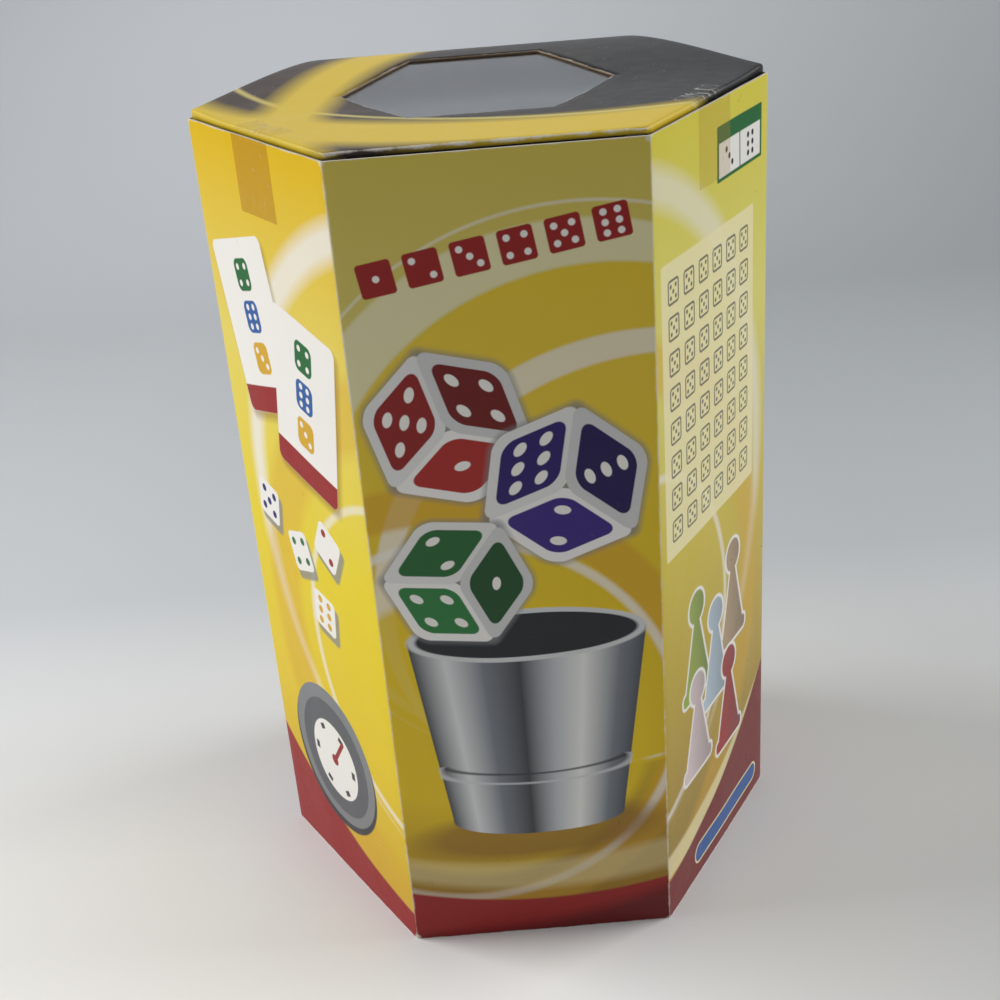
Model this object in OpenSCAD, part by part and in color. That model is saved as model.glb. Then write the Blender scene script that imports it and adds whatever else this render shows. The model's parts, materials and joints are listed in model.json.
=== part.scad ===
// Boxed electronic dice game: a six-sided printed carton with a tuck lid and a
// window, and inside it the game unit, its dice, cards and rule leaflet.
// Millimetres, +Z up, front panel towards -Y, origin at the middle of the carton's base.

/* [Carton] */
// Width of one side panel of the carton
panel_w = 95; // [85:0.5:120]
// How far the six-sided carton is pressed flat from front to back
squash = 3.5; // [0:0.5:8]
// Thickness of the printed board
board_t = 0.7; // [0.4:0.1:1]
// Free height between the game unit and the sleeve's top edge
headroom = 60; // [45:1:80]
// Width of the glue flap that closes the sleeve
glue_flap_w = 14; // [8:1:25]
// Height of the tabs that hold the bottom panel
bottom_tab_h = 18; // [10:1:30]

/* [Lid] */
// Depth of the tuck tabs below the lid
tab_d = 22; // [15:0.5:28]
// Gap between a tuck tab's fold and the inside of the sleeve
tab_gap = 0.8; // [0.6:0.1:1.5]
// Angle at which the tuck tabs lean inwards
tab_lean = 8; // [7:0.5:12]
// Distance that a tab stops short of the panel's corners
tab_end_gap = 6; // [5:0.5:12]
// How far the lid's front stands above the sleeve's edge
front_rise = 2.2; // [1.6:0.1:3.5]
// How far the crest of the bowed lid stands above the sleeve's edge
crest_rise = 6.8; // [4:0.1:9]
// Distance of the crest from the lid's hinged edge
crest_inset = 29; // [20:1:40]
// Length over which the lid rises to its crest
hump_run = 70; // [50:1:90]
// Side of the six-sided window in the lid
window_side = 46; // [30:0.5:55]
// Width of the window film's glued rim
film_rim = 9; // [5:0.5:12]
// Thickness of the clear window film
film_t = 0.2; // [0.1:0.05:0.4]

/* [Sealing tape] */
// Width of the clear sealing tape
tape_w = 25.4; // [12:0.1:50]
// Length of tape left on a side panel
tape_drop = 25; // [10:1:40]
// Length of tape left on the lid
tape_lap = 8; // [4:0.5:12]
// Thickness of the tape
tape_t = 0.1; // [0.05:0.01:0.2]

/* [Game unit] */
// Gap between the round tray and the carton's board
unit_gap = 4.8; // [3:0.1:10]
// Height of the rubber feet
foot_h = 2; // [1:0.5:4]
// Diameter of the rubber feet
foot_dia = 14; // [8:0.5:20]
// Height of the storage tray
tray_h = 34; // [28:1:45]
// Wall thickness of the storage tray
tray_wall = 2.4; // [1.6:0.1:3]
// Height of the silver dome
dome_h = 62; // [56:1:75]
// Wall thickness of the dome
dome_wall = 2.4; // [1.6:0.1:3]
// Radius of the dome's flat top
dome_top_r = 32; // [30:0.5:36]
// Radius of the scoops in the dome's flank
scoop_r = 24; // [18:0.5:28]
// Depth of the scoops
scoop_depth = 6; // [3:0.5:8]
// Thickness of the plate that closes the dome
base_t = 2.4; // [1.8:0.1:3.5]
// Height of the black neck collar
collar_h = 8; // [5:0.5:12]
// Radius of the black neck collar
collar_r = 28; // [24:0.5:30]

/* [Die head] */
// How far the die head's corners stay inside the tray's radius
head_inset = 8.7; // [5:0.1:15]
// Rounding at the die head's corners
head_round = 14; // [10:0.5:18]
// Wall thickness of the die head
head_wall = 2.5; // [1.8:0.1:3.5]
// Thickness of the coloured face plates
plate_t = 1.2; // [0.8:0.1:2]
// Diameter of a pip on the face plates
pip_dia = 10; // [6:0.5:12]
// Thickness of a pip
pip_t = 0.5; // [0.3:0.1:1]

/* [Button] */
// Radius of the button's face
button_r = 13; // [10:0.5:14]
// Travel of the button
button_travel = 2.5; // [1.5:0.1:3.5]
// Height of the button's face above its dish
button_proud = 6; // [4:0.5:8]
// Depth of the round dish that the button stands in
dish_depth = 6; // [4:0.5:7]
// Running gap round moving pieces
play = 0.3; // [0.25:0.05:0.5]

/* [Contents] */
// Edge of a game die
die_edge = 16; // [12:0.5:18]
// Width of a card
card_w = 57; // [50:0.5:60]
// Length of a card
card_l = 87; // [70:0.5:90]
// Height of the deck of cards
deck_h = 9; // [5:0.5:12]
// Width of the folded rule leaflet
leaflet_w = 86; // [60:1:90]
// Height of the folded rule leaflet
leaflet_h = 190; // [120:1:210]
// Thickness of the folded rule leaflet
leaflet_t = 1.2; // [0.6:0.1:2]

/* [Batteries] */
// Diameter of a battery cell
cell_dia = 14.2; // [10:0.1:14.5]
// Length of a battery cell
cell_l = 50; // [44:0.1:50.5]
// Number of cells
cell_count = 3; // [2:1:3]

/* [Hidden] */
$fn = 64;

// Carton outline: six equal panels, pressed flat a little from front to back
half_d = (sqrt(3) * panel_w - squash) / 2;
corner_x = panel_w / 2 + sqrt(panel_w * panel_w - half_d * half_d);
slant_nx = half_d / panel_w;
slant_ny = (corner_x - panel_w / 2) / panel_w;

// Panels by their number round the outline
RIGHT_FRONT = 0;
RIGHT_BACK = 1;
LEFT_BACK = 3;
LEFT_FRONT = 4;
FRONT = 5;

// Corners of the outline, set inwards by d from every panel's outer face
function hex_pts(d) =
    let (
        y_edge = half_d - d,
        x_side = corner_x - d / slant_nx,
        x_edge = (slant_nx * corner_x - d - slant_ny * y_edge) / slant_nx
    )
    [
        [x_edge, -y_edge], [x_side, 0], [x_edge, y_edge],
        [-x_edge, y_edge], [-x_side, 0], [-x_edge, -y_edge]
    ];

function panel_start(k, d) = hex_pts(d)[k];
function panel_end(k, d) = hex_pts(d)[(k + 1) % 6];
function panel_run(k, d) = panel_end(k, d) - panel_start(k, d);
function panel_mid(k, d) = (panel_end(k, d) + panel_start(k, d)) / 2;
function panel_len(k, d) = norm(panel_run(k, d));

// Heights of the game unit, from the carton's floor upwards
seat_gap = 0.1;
floor_z = board_t;
tray_z = floor_z + foot_h;
rim_z = tray_z + tray_h;
dome_z = rim_z + play;
dome_top_z = dome_z + dome_h;
collar_z = dome_top_z;
head_foot_z = collar_z + collar_h;

// Die head: a cube stood on its corner, its corners cut by a ball
tray_r = half_d - board_t - unit_gap;
head_r = tray_r - head_inset;
tip_ratio = sqrt(8 / 3);
head_half = (head_r - head_round) / tip_ratio + head_round;
head_edge = 2 * head_half;
head_ball_r = (head_half - head_round) * sqrt(3) + head_round;
head_sink = head_round;
head_z = head_foot_z + head_ball_r - head_sink;
unit_top_z = head_z + head_ball_r;
sleeve_h = unit_top_z + headroom;

// Lid: flat at the front, bowed up towards its hinged edge
lid_inset = board_t + tab_gap;
lid_back_y = half_d - lid_inset;
crest_y = lid_back_y - crest_inset;
hump_start_y = crest_y - hump_run;
hinge_gap = 0.3;
hinge_rise = board_t + hinge_gap;
crease_gap = 0.5;
profile_step = 4;
band_reach = 40;

function ease(t) = t * t * (3 - 2 * t);
function bow(y) =
    y < hump_start_y ? front_rise
    : y < crest_y ? front_rise + (crest_rise - front_rise) * ease((y - hump_start_y) / hump_run)
    : crest_rise - (crest_rise - hinge_rise) * pow((y - crest_y) / crest_inset, 2);
profile_y = concat(
    [-lid_back_y - 1, hump_start_y],
    [for (y = [hump_start_y + profile_step : profile_step : crest_y - 1]) y],
    [for (i = [0 : 8]) crest_y + i * crest_inset / 8],
    [lid_back_y + 1]
);
function bow_line(drop) = [for (y = profile_y) [y, sleeve_h + bow(min(y, lid_back_y)) - drop]];
function backwards(v) = [for (i = [len(v) - 1 : -1 : 0]) v[i]];

// Storage tray
tray_ri = tray_r - tray_wall;
well_wall = 1.6;
well_play = 0.5;
deck_x = -22;
deck_z = tray_z + tray_wall;
die_corner = 2;
die_rim_gap = 14.6;
die_ring_r = tray_ri - die_edge / 2 - die_rim_gap;
die_angles = [-60, -30, 0, 30, 60];
well_h = 12;
lock_count = 3;
lock_span = 16;
lug_reach = 2;
lug_h = 2.4;
spigot_drop = 6;
spigot_t = 2;
spigot_r = tray_ri - lug_reach - 2 * play;
foot_rim_gap = 10;
foot_ring_r = tray_r - foot_dia / 2 - foot_rim_gap;

// Dome and what it holds
dome_lip = 8;
dome_steps = 12;
scoop_angles = [25, 145, 265];
base_r = tray_r - dome_wall - play;
base_top_z = dome_z + base_t;
screw_r = 1.4;
screw_head_r = 3;
screw_head_h = 1.8;
screw_l = 9;
thread_gap = 0.05;
tip_gap = 1;
post_r = 4;
post_ring_r = spigot_r - spigot_t - screw_head_r - 3 * play;
post_angles = [10, 130, 250];
bolt_r = 2.4;
bolt_head_r = 5;
bolt_head_h = 3;

// Button: its axis leaves the dome at the front left, tilted upwards
button_az = -42;
button_tilt = 28;
button_rise = 30;
flange_w = 2;
flange_r = button_r + flange_w;
flange_t = 1.7;
button_well_t = 2;
well_r = flange_r + play + button_well_t;
cap_top = button_proud - dish_depth;
mouth_t = 2;
mouth_at = -dish_depth - mouth_t;
flange_at = mouth_at - play;
cap_foot = flange_at - flange_t;
membrane_t = 1.5;
membrane_inset = 5;
membrane_at = cap_foot - button_travel - play;
switch_t = 1.2;
switch_at = membrane_at - membrane_t;
well_floor_at = switch_at - switch_t;
well_floor_t = 1.5;
dish_ball_r = 40;

// Batteries, sound and circuit
box_wall = 1.6;
cell_play = 0.4;
cell_head_gap = 0.6;
contact_t = 0.6;
contact_slack = 1.1;
contact_w = 10;
cell_nub_dia = 5.5;
cell_nub_h = 1;
box_w = cell_count * (cell_dia + cell_play) + 2 * box_wall;
box_l = cell_l + 2 * (box_wall + contact_t + contact_slack);
box_h = cell_dia + cell_head_gap + box_wall;
box_x = 16;
door_lip = 2;
speaker_r = 18;
speaker_rim_gap = 16.3;
speaker_x = speaker_r + speaker_rim_gap - base_r;
speaker_h = 14;
speaker_lip = 3;
cone_cap_r = 5;
cone_gap = 1;
magnet_inset = 6;
magnet_h = 5;
slot_w = 2.4;
slot_l = 24;
slot_step = 7;
pcb_margin = 3;
pcb_w = box_w - 2 * pcb_margin;
pcb_l = box_l - 2 * pcb_margin;
pcb_t = 1.6;
chip_w = 12;
chip_h = 2;

// Shared building blocks

module on_panel(k, d) {
    run = panel_run(k, d);
    mid = panel_mid(k, d);
    translate([mid.x, mid.y, 0])
        rotate([0, 0, atan2(-run.y, -run.x)])
            children();
}

module hex_plate(d, h) {
    linear_extrude(h) polygon(hex_pts(d));
}

module across(pts) {
    rotate([90, 0, 90])
        linear_extrude(2 * corner_x + band_reach, center = true)
            polygon(pts);
}

module bowed_band(top, bottom) {
    across(concat(bow_line(top), backwards(bow_line(bottom))));
}

module window_prism(side) {
    translate([0, 0, sleeve_h - band_reach])
        linear_extrude(2 * band_reach) circle(r = side, $fn = 6);
}

module ring(r_out, r_in, h) {
    difference() {
        cylinder(r = r_out, h = h);
        translate([0, 0, -1]) cylinder(r = r_in, h = h + 2);
    }
}

module ring_sector(r_out, r_in, h, span) {
    rotate([0, 0, -span / 2])
        rotate_extrude(angle = span)
            translate([r_in, 0]) square([r_out - r_in, h]);
}

module around(angles) {
    for (a = angles) rotate([0, 0, a]) children();
}

module locks() {
    around([for (i = [0 : lock_count - 1]) i * 360 / lock_count]) children();
}

module box_at(x, w, l, h) {
    translate([x - w / 2, -l / 2, 0]) cube([w, l, h]);
}

// Carton

module carton_sleeve() {
    flap_top = sleeve_h - tab_d - 2 * bottom_tab_h;
    color("gold") {
        difference() {
            hex_plate(0, sleeve_h);
            translate([0, 0, -1]) hex_plate(board_t, sleeve_h + 2);
        }
        on_panel(LEFT_BACK, board_t)
            translate([panel_len(LEFT_BACK, board_t) / 2 - glue_flap_w - board_t, -board_t, bottom_tab_h])
                cube([glue_flap_w, board_t + seat_gap, flap_top - bottom_tab_h]);
    }
}

module bottom_panel() {
    color("firebrick") hex_plate(board_t + seat_gap, board_t);
}

module bottom_tabs() {
    d = board_t + seat_gap;
    color("lightgray")
        for (k = [RIGHT_FRONT, LEFT_FRONT, FRONT]) {
            w = panel_len(k, d) - 2 * tab_end_gap;
            on_panel(k, d)
                translate([-w / 2, -board_t, floor_z]) cube([w, board_t, bottom_tab_h]);
        }
}

module side_tapes() {
    color("khaki", 0.6)
        for (k = [RIGHT_FRONT, LEFT_FRONT])
            on_panel(k, 0)
                translate([-tape_w / 2, 0, sleeve_h - tape_drop]) cube([tape_w, tape_t, tape_drop]);
}

module lid_panel() {
    color("dimgray") difference() {
        intersection() {
            bowed_band(0, board_t);
            hex_plate(lid_inset, sleeve_h + band_reach);
        }
        window_prism(window_side);
    }
}

module window_film() {
    color("lightsteelblue", 0.4) intersection() {
        bowed_band(board_t, board_t + film_t);
        window_prism(window_side + film_rim);
    }
}

module lid_tapes() {
    color("khaki", 0.6) intersection() {
        bowed_band(-tape_t, 0);
        for (k = [RIGHT_FRONT, LEFT_FRONT])
            on_panel(k, lid_inset)
                translate([-tape_w / 2, -tape_lap, sleeve_h]) cube([tape_w, tape_lap, band_reach]);
    }
}

module tab_blank(w, rise) {
    taper = tab_d / 2;
    translate([0, board_t, 0])
        rotate([90, 0, 0])
            linear_extrude(board_t)
                polygon([[-w / 2, rise], [w / 2, rise], [w / 2 - taper, -tab_d], [taper - w / 2, -tab_d]]);
}

module tuck_tab(k) {
    w = panel_len(k, lid_inset) - 2 * tab_end_gap;
    color("black")
        on_panel(k, lid_inset)
            translate([0, -board_t, sleeve_h + front_rise - board_t - crease_gap])
                rotate([-tab_lean, 0, 0]) tab_blank(w, 0);
}

module lid_front_tab() { tuck_tab(FRONT); }
module lid_left_tab() { tuck_tab(LEFT_FRONT); }
module lid_right_tab() { tuck_tab(RIGHT_FRONT); }

module lid_rear_tabs() {
    low_z = sleeve_h - band_reach;
    under_lid = concat(bow_line(board_t), [[lid_back_y + 1, low_z], [-lid_back_y - 1, low_z]]);
    color("black") intersection() {
        for (k = [RIGHT_BACK, LEFT_BACK])
            on_panel(k, lid_inset)
                translate([0, -board_t, sleeve_h])
                    tab_blank(panel_len(k, lid_inset) - 2 * tab_end_gap, crest_rise);
        across(under_lid);
    }
}

// Contents of the carton

module rule_leaflet() {
    color("white")
        translate([-leaflet_w / 2, half_d - board_t - seat_gap - leaflet_t, floor_z])
            cube([leaflet_w, leaflet_t, leaflet_h]);
}

module well_frame(w, l) {
    difference() {
        box_at(0, w + 2 * well_wall, l + 2 * well_wall, well_h);
        translate([0, 0, -1]) box_at(0, w, l, well_h + 2);
    }
}

module storage_tray() {
    die_well = die_edge + 2 * well_play;
    color("darkslategray") {
        translate([0, 0, tray_z]) difference() {
            cylinder(r = tray_r, h = tray_h);
            translate([0, 0, tray_wall]) cylinder(r = tray_ri, h = tray_h);
        }
        translate([deck_x, 0, deck_z]) well_frame(card_w + 2 * well_play, card_l + 2 * well_play);
        around(die_angles) translate([die_ring_r, 0, deck_z]) well_frame(die_well, die_well);
        locks()
            translate([0, 0, rim_z - lug_h - play])
                ring_sector(tray_ri + 1, tray_ri - lug_reach, lug_h, lock_span);
    }
}

module tray_feet() {
    color("black")
        around([45, 135, 225, 315])
            translate([foot_ring_r, 0, floor_z]) cylinder(d = foot_dia, h = foot_h);
}

module card_deck() {
    color("white") translate([deck_x - card_w / 2, -card_l / 2, deck_z]) cube([card_w, card_l, deck_h]);
}

module die_solid(edge) {
    intersection() {
        cube(edge, center = true);
        sphere(r = edge * sqrt(3) / 2 - die_corner);
    }
}

module game_dice() {
    color("ivory")
        around(die_angles)
            translate([die_ring_r, 0, deck_z + die_edge / 2]) die_solid(die_edge);
}

// Dome

function dome_pt(u, wall) = [
    dome_top_r + (tray_r - dome_top_r) * cos(u) - wall,
    dome_lip + (dome_h - dome_lip) * sin(u) - (u > 0 ? wall * sin(u) : 0)
];

module dome_body(wall) {
    flank = [for (i = [0 : dome_steps]) dome_pt(i * 90 / dome_steps, wall)];
    foot = wall > 0 ? -1 : 0;
    translate([0, 0, dome_z])
        rotate_extrude()
            polygon(concat([[0, foot], [tray_r - wall, foot]], flank, [[0, dome_h - wall]]));
}

module scoop(grow) {
    slope = atan2(dome_h - dome_lip, tray_r - dome_top_r);
    mid = dome_pt(35, 0);
    translate([0, -mid.x, dome_z + mid.y])
        rotate([slope - 90, 0, 0])
            translate([0, scoop_depth - scoop_r, 0]) {
                cylinder(r = scoop_r + grow, h = dome_h);
                sphere(r = scoop_r + grow);
            }
}

module button_frame() {
    flank_u = asin((button_rise - dome_lip) / (dome_h - dome_lip));
    rotate([0, 0, button_az])
        translate([0, -dome_pt(flank_u, 0).x, dome_z + button_rise])
            rotate([90 - button_tilt, 0, 0])
                children();
}

module along(from, to, r) {
    translate([0, 0, from]) cylinder(r = r, h = to - from);
}

module dish(grow) {
    button_frame() translate([0, 0, dish_ball_r - dish_depth]) sphere(r = dish_ball_r + grow);
}

module dome_cuts(grow) {
    around(scoop_angles) scoop(grow);
    dish(grow);
}

module posts(r) {
    around(post_angles) translate([post_ring_r, 0, base_top_z]) cylinder(r = r, h = dome_h);
}

module dome_shell() {
    color("silver") difference() {
        dome_body(0);
        dome_cuts(0);
        difference() {
            dome_body(dome_wall);
            dome_cuts(dome_wall);
            posts(post_r);
            button_frame() along(well_floor_at - well_floor_t, 0, well_r);
        }
        button_frame() {
            along(well_floor_at, mouth_at, flange_r + play);
            along(mouth_at - 1, dish_ball_r, button_r + play);
        }
        around(post_angles)
            translate([post_ring_r, 0, base_top_z - 1]) cylinder(r = screw_r + thread_gap, h = screw_l + 1);
        translate([0, 0, dome_top_z - dome_wall - 1]) cylinder(r = bolt_r + play, h = dome_wall + 2);
    }
}

module dome_base() {
    door_w = box_w - 2 * box_wall;
    door_l = box_l - 2 * box_wall;
    color("dimgray") difference() {
        translate([0, 0, dome_z]) cylinder(r = base_r, h = base_t);
        translate([0, 0, dome_z - 1]) box_at(box_x, door_w, door_l, base_t + 2);
        around(post_angles)
            translate([post_ring_r, 0, dome_z - 1]) cylinder(r = screw_r + play, h = base_t + 2);
        for (i = [-1 : 1])
            translate([speaker_x + i * slot_step - slot_w / 2, -slot_l / 2, dome_z - 1])
                cube([slot_w, slot_l, base_t + 2]);
    }
}

module lock_ring() {
    color("dimgray") {
        translate([0, 0, rim_z - spigot_drop]) ring(spigot_r, spigot_r - spigot_t, spigot_drop + play);
        locks()
            translate([0, 0, rim_z - 2 * (lug_h + play)])
                ring_sector(spigot_r + lug_reach, spigot_r - spigot_t / 2, lug_h, lock_span);
    }
}

module dome_screws() {
    color("gainsboro")
        around(post_angles) translate([post_ring_r, 0, dome_z]) {
            translate([0, 0, -screw_head_h]) cylinder(r = screw_head_r, h = screw_head_h);
            cylinder(r = screw_r, h = base_t + screw_l - tip_gap);
        }
}

module circuit_board() {
    color("seagreen") translate([0, 0, base_top_z + box_h]) box_at(box_x, pcb_w, pcb_l, pcb_t);
}

module sound_chip() {
    color("black") translate([0, 0, base_top_z + box_h + pcb_t]) box_at(box_x, chip_w, chip_w, chip_h);
}

module speaker() {
    color("slategray") translate([speaker_x, 0, base_top_z])
        rotate_extrude()
            polygon([
                [0, speaker_lip], [cone_cap_r, speaker_lip], [speaker_r - speaker_lip, cone_gap],
                [speaker_r - speaker_lip, 0], [speaker_r, 0], [speaker_r, speaker_lip],
                [speaker_r - magnet_inset, speaker_h - magnet_h], [speaker_r - magnet_inset, speaker_h],
                [0, speaker_h]
            ]);
}

module battery_box() {
    color("black") translate([0, 0, base_top_z]) difference() {
        box_at(box_x, box_w, box_l, box_h);
        translate([0, 0, -1]) box_at(box_x, box_w - 2 * box_wall, box_l - 2 * box_wall, box_h - box_wall + 1);
    }
}

function cell_x(i) = box_x + (i - (cell_count - 1) / 2) * (cell_dia + cell_play);
cell_z = base_top_z + box_h - box_wall - cell_dia / 2 - seat_gap;

module battery_cells() {
    color("orange")
        for (i = [0 : cell_count - 1])
            translate([cell_x(i), cell_l / 2, cell_z]) rotate([90, 0, 0]) {
                cylinder(d = cell_dia, h = cell_l - cell_nub_h);
                cylinder(d = cell_nub_dia, h = cell_l);
            }
}

module battery_contacts() {
    color("silver")
        for (i = [0 : cell_count - 1], s = [-1, 1])
            translate([cell_x(i), s * (box_l / 2 - box_wall - contact_t / 2), cell_z])
                cube([contact_w, contact_t, contact_w], center = true);
}

module battery_door() {
    color("dimgray") difference() {
        union() {
            translate([0, 0, dome_z - base_t / 2])
                box_at(box_x, box_w + 2 * door_lip, box_l + 2 * door_lip, base_t / 2);
            translate([0, 0, dome_z])
                box_at(box_x, box_w - 2 * box_wall - 2 * play, box_l - 2 * box_wall - 2 * play, base_t);
        }
        translate([box_x, 0, dome_z - base_t]) cylinder(r = screw_r + play, h = 3 * base_t);
    }
}

module door_screw() {
    color("gainsboro") translate([box_x, 0, dome_z - base_t / 2]) {
        translate([0, 0, -screw_head_h]) cylinder(r = screw_head_r, h = screw_head_h);
        cylinder(r = screw_r, h = base_t * 1.5);
    }
}

// Button

module button_cap() {
    color("black") button_frame() {
        along(cap_foot, flange_at, flange_r);
        intersection() {
            along(flange_at, cap_top, button_r);
            translate([0, 0, cap_top - 2 * button_r]) sphere(r = 2 * button_r);
        }
    }
}

module button_membrane() {
    color("gray") button_frame() along(switch_at, membrane_at, button_r - membrane_inset);
}

module button_switch() {
    color("seagreen") button_frame() along(well_floor_at, switch_at, flange_r);
}

// Neck and die head

module neck_collar() {
    color("black") translate([0, 0, collar_z]) ring(collar_r, bolt_r + play, collar_h);
}

module head_bolt() {
    color("gainsboro") {
        translate([0, 0, dome_top_z - dome_wall - bolt_head_h]) cylinder(r = bolt_head_r, h = bolt_head_h);
        translate([0, 0, dome_top_z - dome_wall]) cylinder(r = bolt_r, h = dome_wall + collar_h + head_wall);
    }
}

module on_corner() {
    translate([0, 0, head_z]) rotate([45, atan(1 / sqrt(2)), 0]) children();
}

module head_solid(wall) {
    on_corner() intersection() {
        cube(head_edge - 2 * wall, center = true);
        sphere(r = head_ball_r - wall);
    }
}

module slab(z_low, z_high) {
    translate([-head_edge, -head_edge, z_low]) cube([2 * head_edge, 2 * head_edge, z_high - z_low]);
}

module head_lower_shell() {
    color("whitesmoke") difference() {
        intersection() {
            head_solid(0);
            slab(head_foot_z, head_z);
        }
        intersection() {
            head_solid(head_wall);
            slab(head_foot_z + head_wall, head_z + 1);
        }
        translate([0, 0, head_foot_z - 1]) cylinder(r = bolt_r + thread_gap, h = head_wall + 2);
    }
}

module head_upper_shell() {
    color("whitesmoke") difference() {
        intersection() {
            head_solid(0);
            slab(head_z, unit_top_z + 1);
        }
        intersection() {
            head_solid(head_wall);
            slab(head_z - 1, unit_top_z + 1);
        }
    }
}

// Faces of the die head: the turn that brings each one outwards, and its pips
plate_margin = 17.5;
plate_side = head_edge - 2 * plate_margin;
notch_r = 12.9;
pip_step = 15.4;
FACES = [
    ["red", [90, 0, 0], [[0, 0]]],
    ["purple", [0, 90, 0], [[-1, -1], [1, 1]]],
    ["yellow", [180, 0, 0], [[-1, -1], [0, 0], [1, 1]]],
    ["green", [0, 0, 0], [[-1, 0], [1, 0], [0, -1], [0, 1]]],
    ["orange", [-90, 0, 0], [[-1, 0], [1, 0], [0, -1], [0, 1], [0, 0]]],
    ["blue", [0, -90, 0], [[-0.6, -1], [-0.6, 0], [-0.6, 1], [0.6, -1], [0.6, 0], [0.6, 1]]]
];

module on_face(i, out) {
    on_corner() rotate(FACES[i][1]) translate([0, 0, head_half + out]) children();
}

module face_plate(i) {
    color(FACES[i][0]) on_face(i, 0) linear_extrude(plate_t) difference() {
        square(plate_side, center = true);
        for (x = [-1, 1], y = [-1, 1])
            translate([x, y] * plate_side / 2) circle(r = notch_r);
    }
}

module face_plate_red() { face_plate(0); }
module face_plate_purple() { face_plate(1); }
module face_plate_yellow() { face_plate(2); }
module face_plate_green() { face_plate(3); }
module face_plate_orange() { face_plate(4); }
module face_plate_blue() { face_plate(5); }

module face_pips() {
    color("white")
        for (i = [0 : len(FACES) - 1])
            for (p = FACES[i][2])
                on_face(i, plate_t) translate(p * pip_step) cylinder(d = pip_dia, h = pip_t);
}

echo(
    sleeve_h = sleeve_h, half_d = half_d, corner_x = corner_x, tray_r = tray_r, head_z = head_z,
    head_edge = head_edge, unit_top_z = unit_top_z, dome_z = dome_z
);

carton_sleeve();
bottom_panel();
bottom_tabs();
side_tapes();
lid_panel();
window_film();
lid_tapes();
lid_front_tab();
lid_left_tab();
lid_right_tab();
lid_rear_tabs();
rule_leaflet();
storage_tray();
tray_feet();
card_deck();
game_dice();
dome_shell();
dome_base();
lock_ring();
dome_screws();
circuit_board();
sound_chip();
speaker();
battery_box();
battery_cells();
battery_contacts();
battery_door();
door_screw();
button_cap();
button_membrane();
button_switch();
neck_collar();
head_bolt();
head_lower_shell();
head_upper_shell();
face_plate_red();
face_plate_purple();
face_plate_yellow();
face_plate_green();
face_plate_orange();
face_plate_blue();
face_pips();
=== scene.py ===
"""Dresses the boxed dice game: printed carton, lid, window, tape and the game unit inside.

Lengths in the classes are metres, as in the frame. Places on the print are millimetres on a panel, with x
from the panel's left edge and y down from its top edge, as it is read from outside.
"""

import json
import logging
import math
from abc import ABC, abstractmethod
from dataclasses import dataclass
from enum import Enum
from typing import Any, Callable, Dict, List, NamedTuple, Optional, Protocol, Sequence, Tuple, Union

import bmesh
import bpy
import numpy as np
from bpy.types import Material, Mesh, Object
from mathutils import Matrix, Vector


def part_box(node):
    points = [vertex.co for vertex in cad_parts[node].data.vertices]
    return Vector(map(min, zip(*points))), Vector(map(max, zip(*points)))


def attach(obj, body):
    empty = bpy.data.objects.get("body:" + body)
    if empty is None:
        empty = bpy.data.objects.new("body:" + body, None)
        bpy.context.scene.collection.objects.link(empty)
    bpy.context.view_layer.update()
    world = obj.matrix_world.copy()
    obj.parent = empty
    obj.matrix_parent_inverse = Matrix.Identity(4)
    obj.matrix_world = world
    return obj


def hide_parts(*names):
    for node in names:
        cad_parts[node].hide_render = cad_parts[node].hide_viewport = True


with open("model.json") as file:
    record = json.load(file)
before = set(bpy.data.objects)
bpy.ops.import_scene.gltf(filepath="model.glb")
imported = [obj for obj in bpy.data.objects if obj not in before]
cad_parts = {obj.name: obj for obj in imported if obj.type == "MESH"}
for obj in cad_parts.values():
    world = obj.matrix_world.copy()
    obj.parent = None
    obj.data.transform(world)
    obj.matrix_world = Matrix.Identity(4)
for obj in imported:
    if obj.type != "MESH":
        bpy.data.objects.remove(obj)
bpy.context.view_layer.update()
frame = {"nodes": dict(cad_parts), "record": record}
log = logging.getLogger("dice_game")

Array = np.ndarray
Colour = Tuple[float, float, float, float]
Place = Tuple[float, float]
Point = Tuple[float, float, float]
Span = Tuple[float, float]
Circle = Tuple[Place, float]
Stops = Sequence[Tuple[float, Colour]]
Key = Union[int, str]

MM = 0.001
QUARTER = math.pi / 2.0
DIAGONAL = math.sqrt(0.5)
UP = np.array([0.0, 0.0, 1.0])
PRINT_MAP = "PrintMap"
EDGE_MAP = "edge"
FAR_EDGE = 99.0
WELD = 1e-6
FLAT_FACE = 1e-7
SHARP_FOLD = math.radians(40.0)


def ink(*screen: float) -> Colour:
    """Turn a screen colour into the linear colour that a shader takes.

    Args:
        screen: red, green and blue, 0 to 255.

    Returns:
        Linear red, green, blue and an alpha of 1.
    """
    shares = np.array(screen) / 255.0
    linear = np.where(shares <= 0.04045, shares / 12.92, ((shares + 0.055) / 1.055) ** 2.4)
    return (*linear.tolist(), 1.0)


def moved(place: Place, by: Place) -> Place:
    """Give a place that lies a step from another."""
    return (place[0] + by[0], place[1] + by[1])


def unit(vector: Array) -> Array:
    """Give a vector's direction."""
    return vector / np.linalg.norm(vector)


def raised(plan: Array, z: Union[float, Array]) -> Array:
    """Give points over a plan at given heights."""
    return np.concatenate([plan, np.broadcast_to(z, plan.shape[:-1])[..., None]], axis=-1)


def show(name: str, data: bpy.types.ID) -> Object:
    """Put a mesh, a light or a camera in the scene and give its object."""
    made = bpy.data.objects.new(name, data)
    bpy.context.scene.collection.objects.link(made)
    return made


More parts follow.
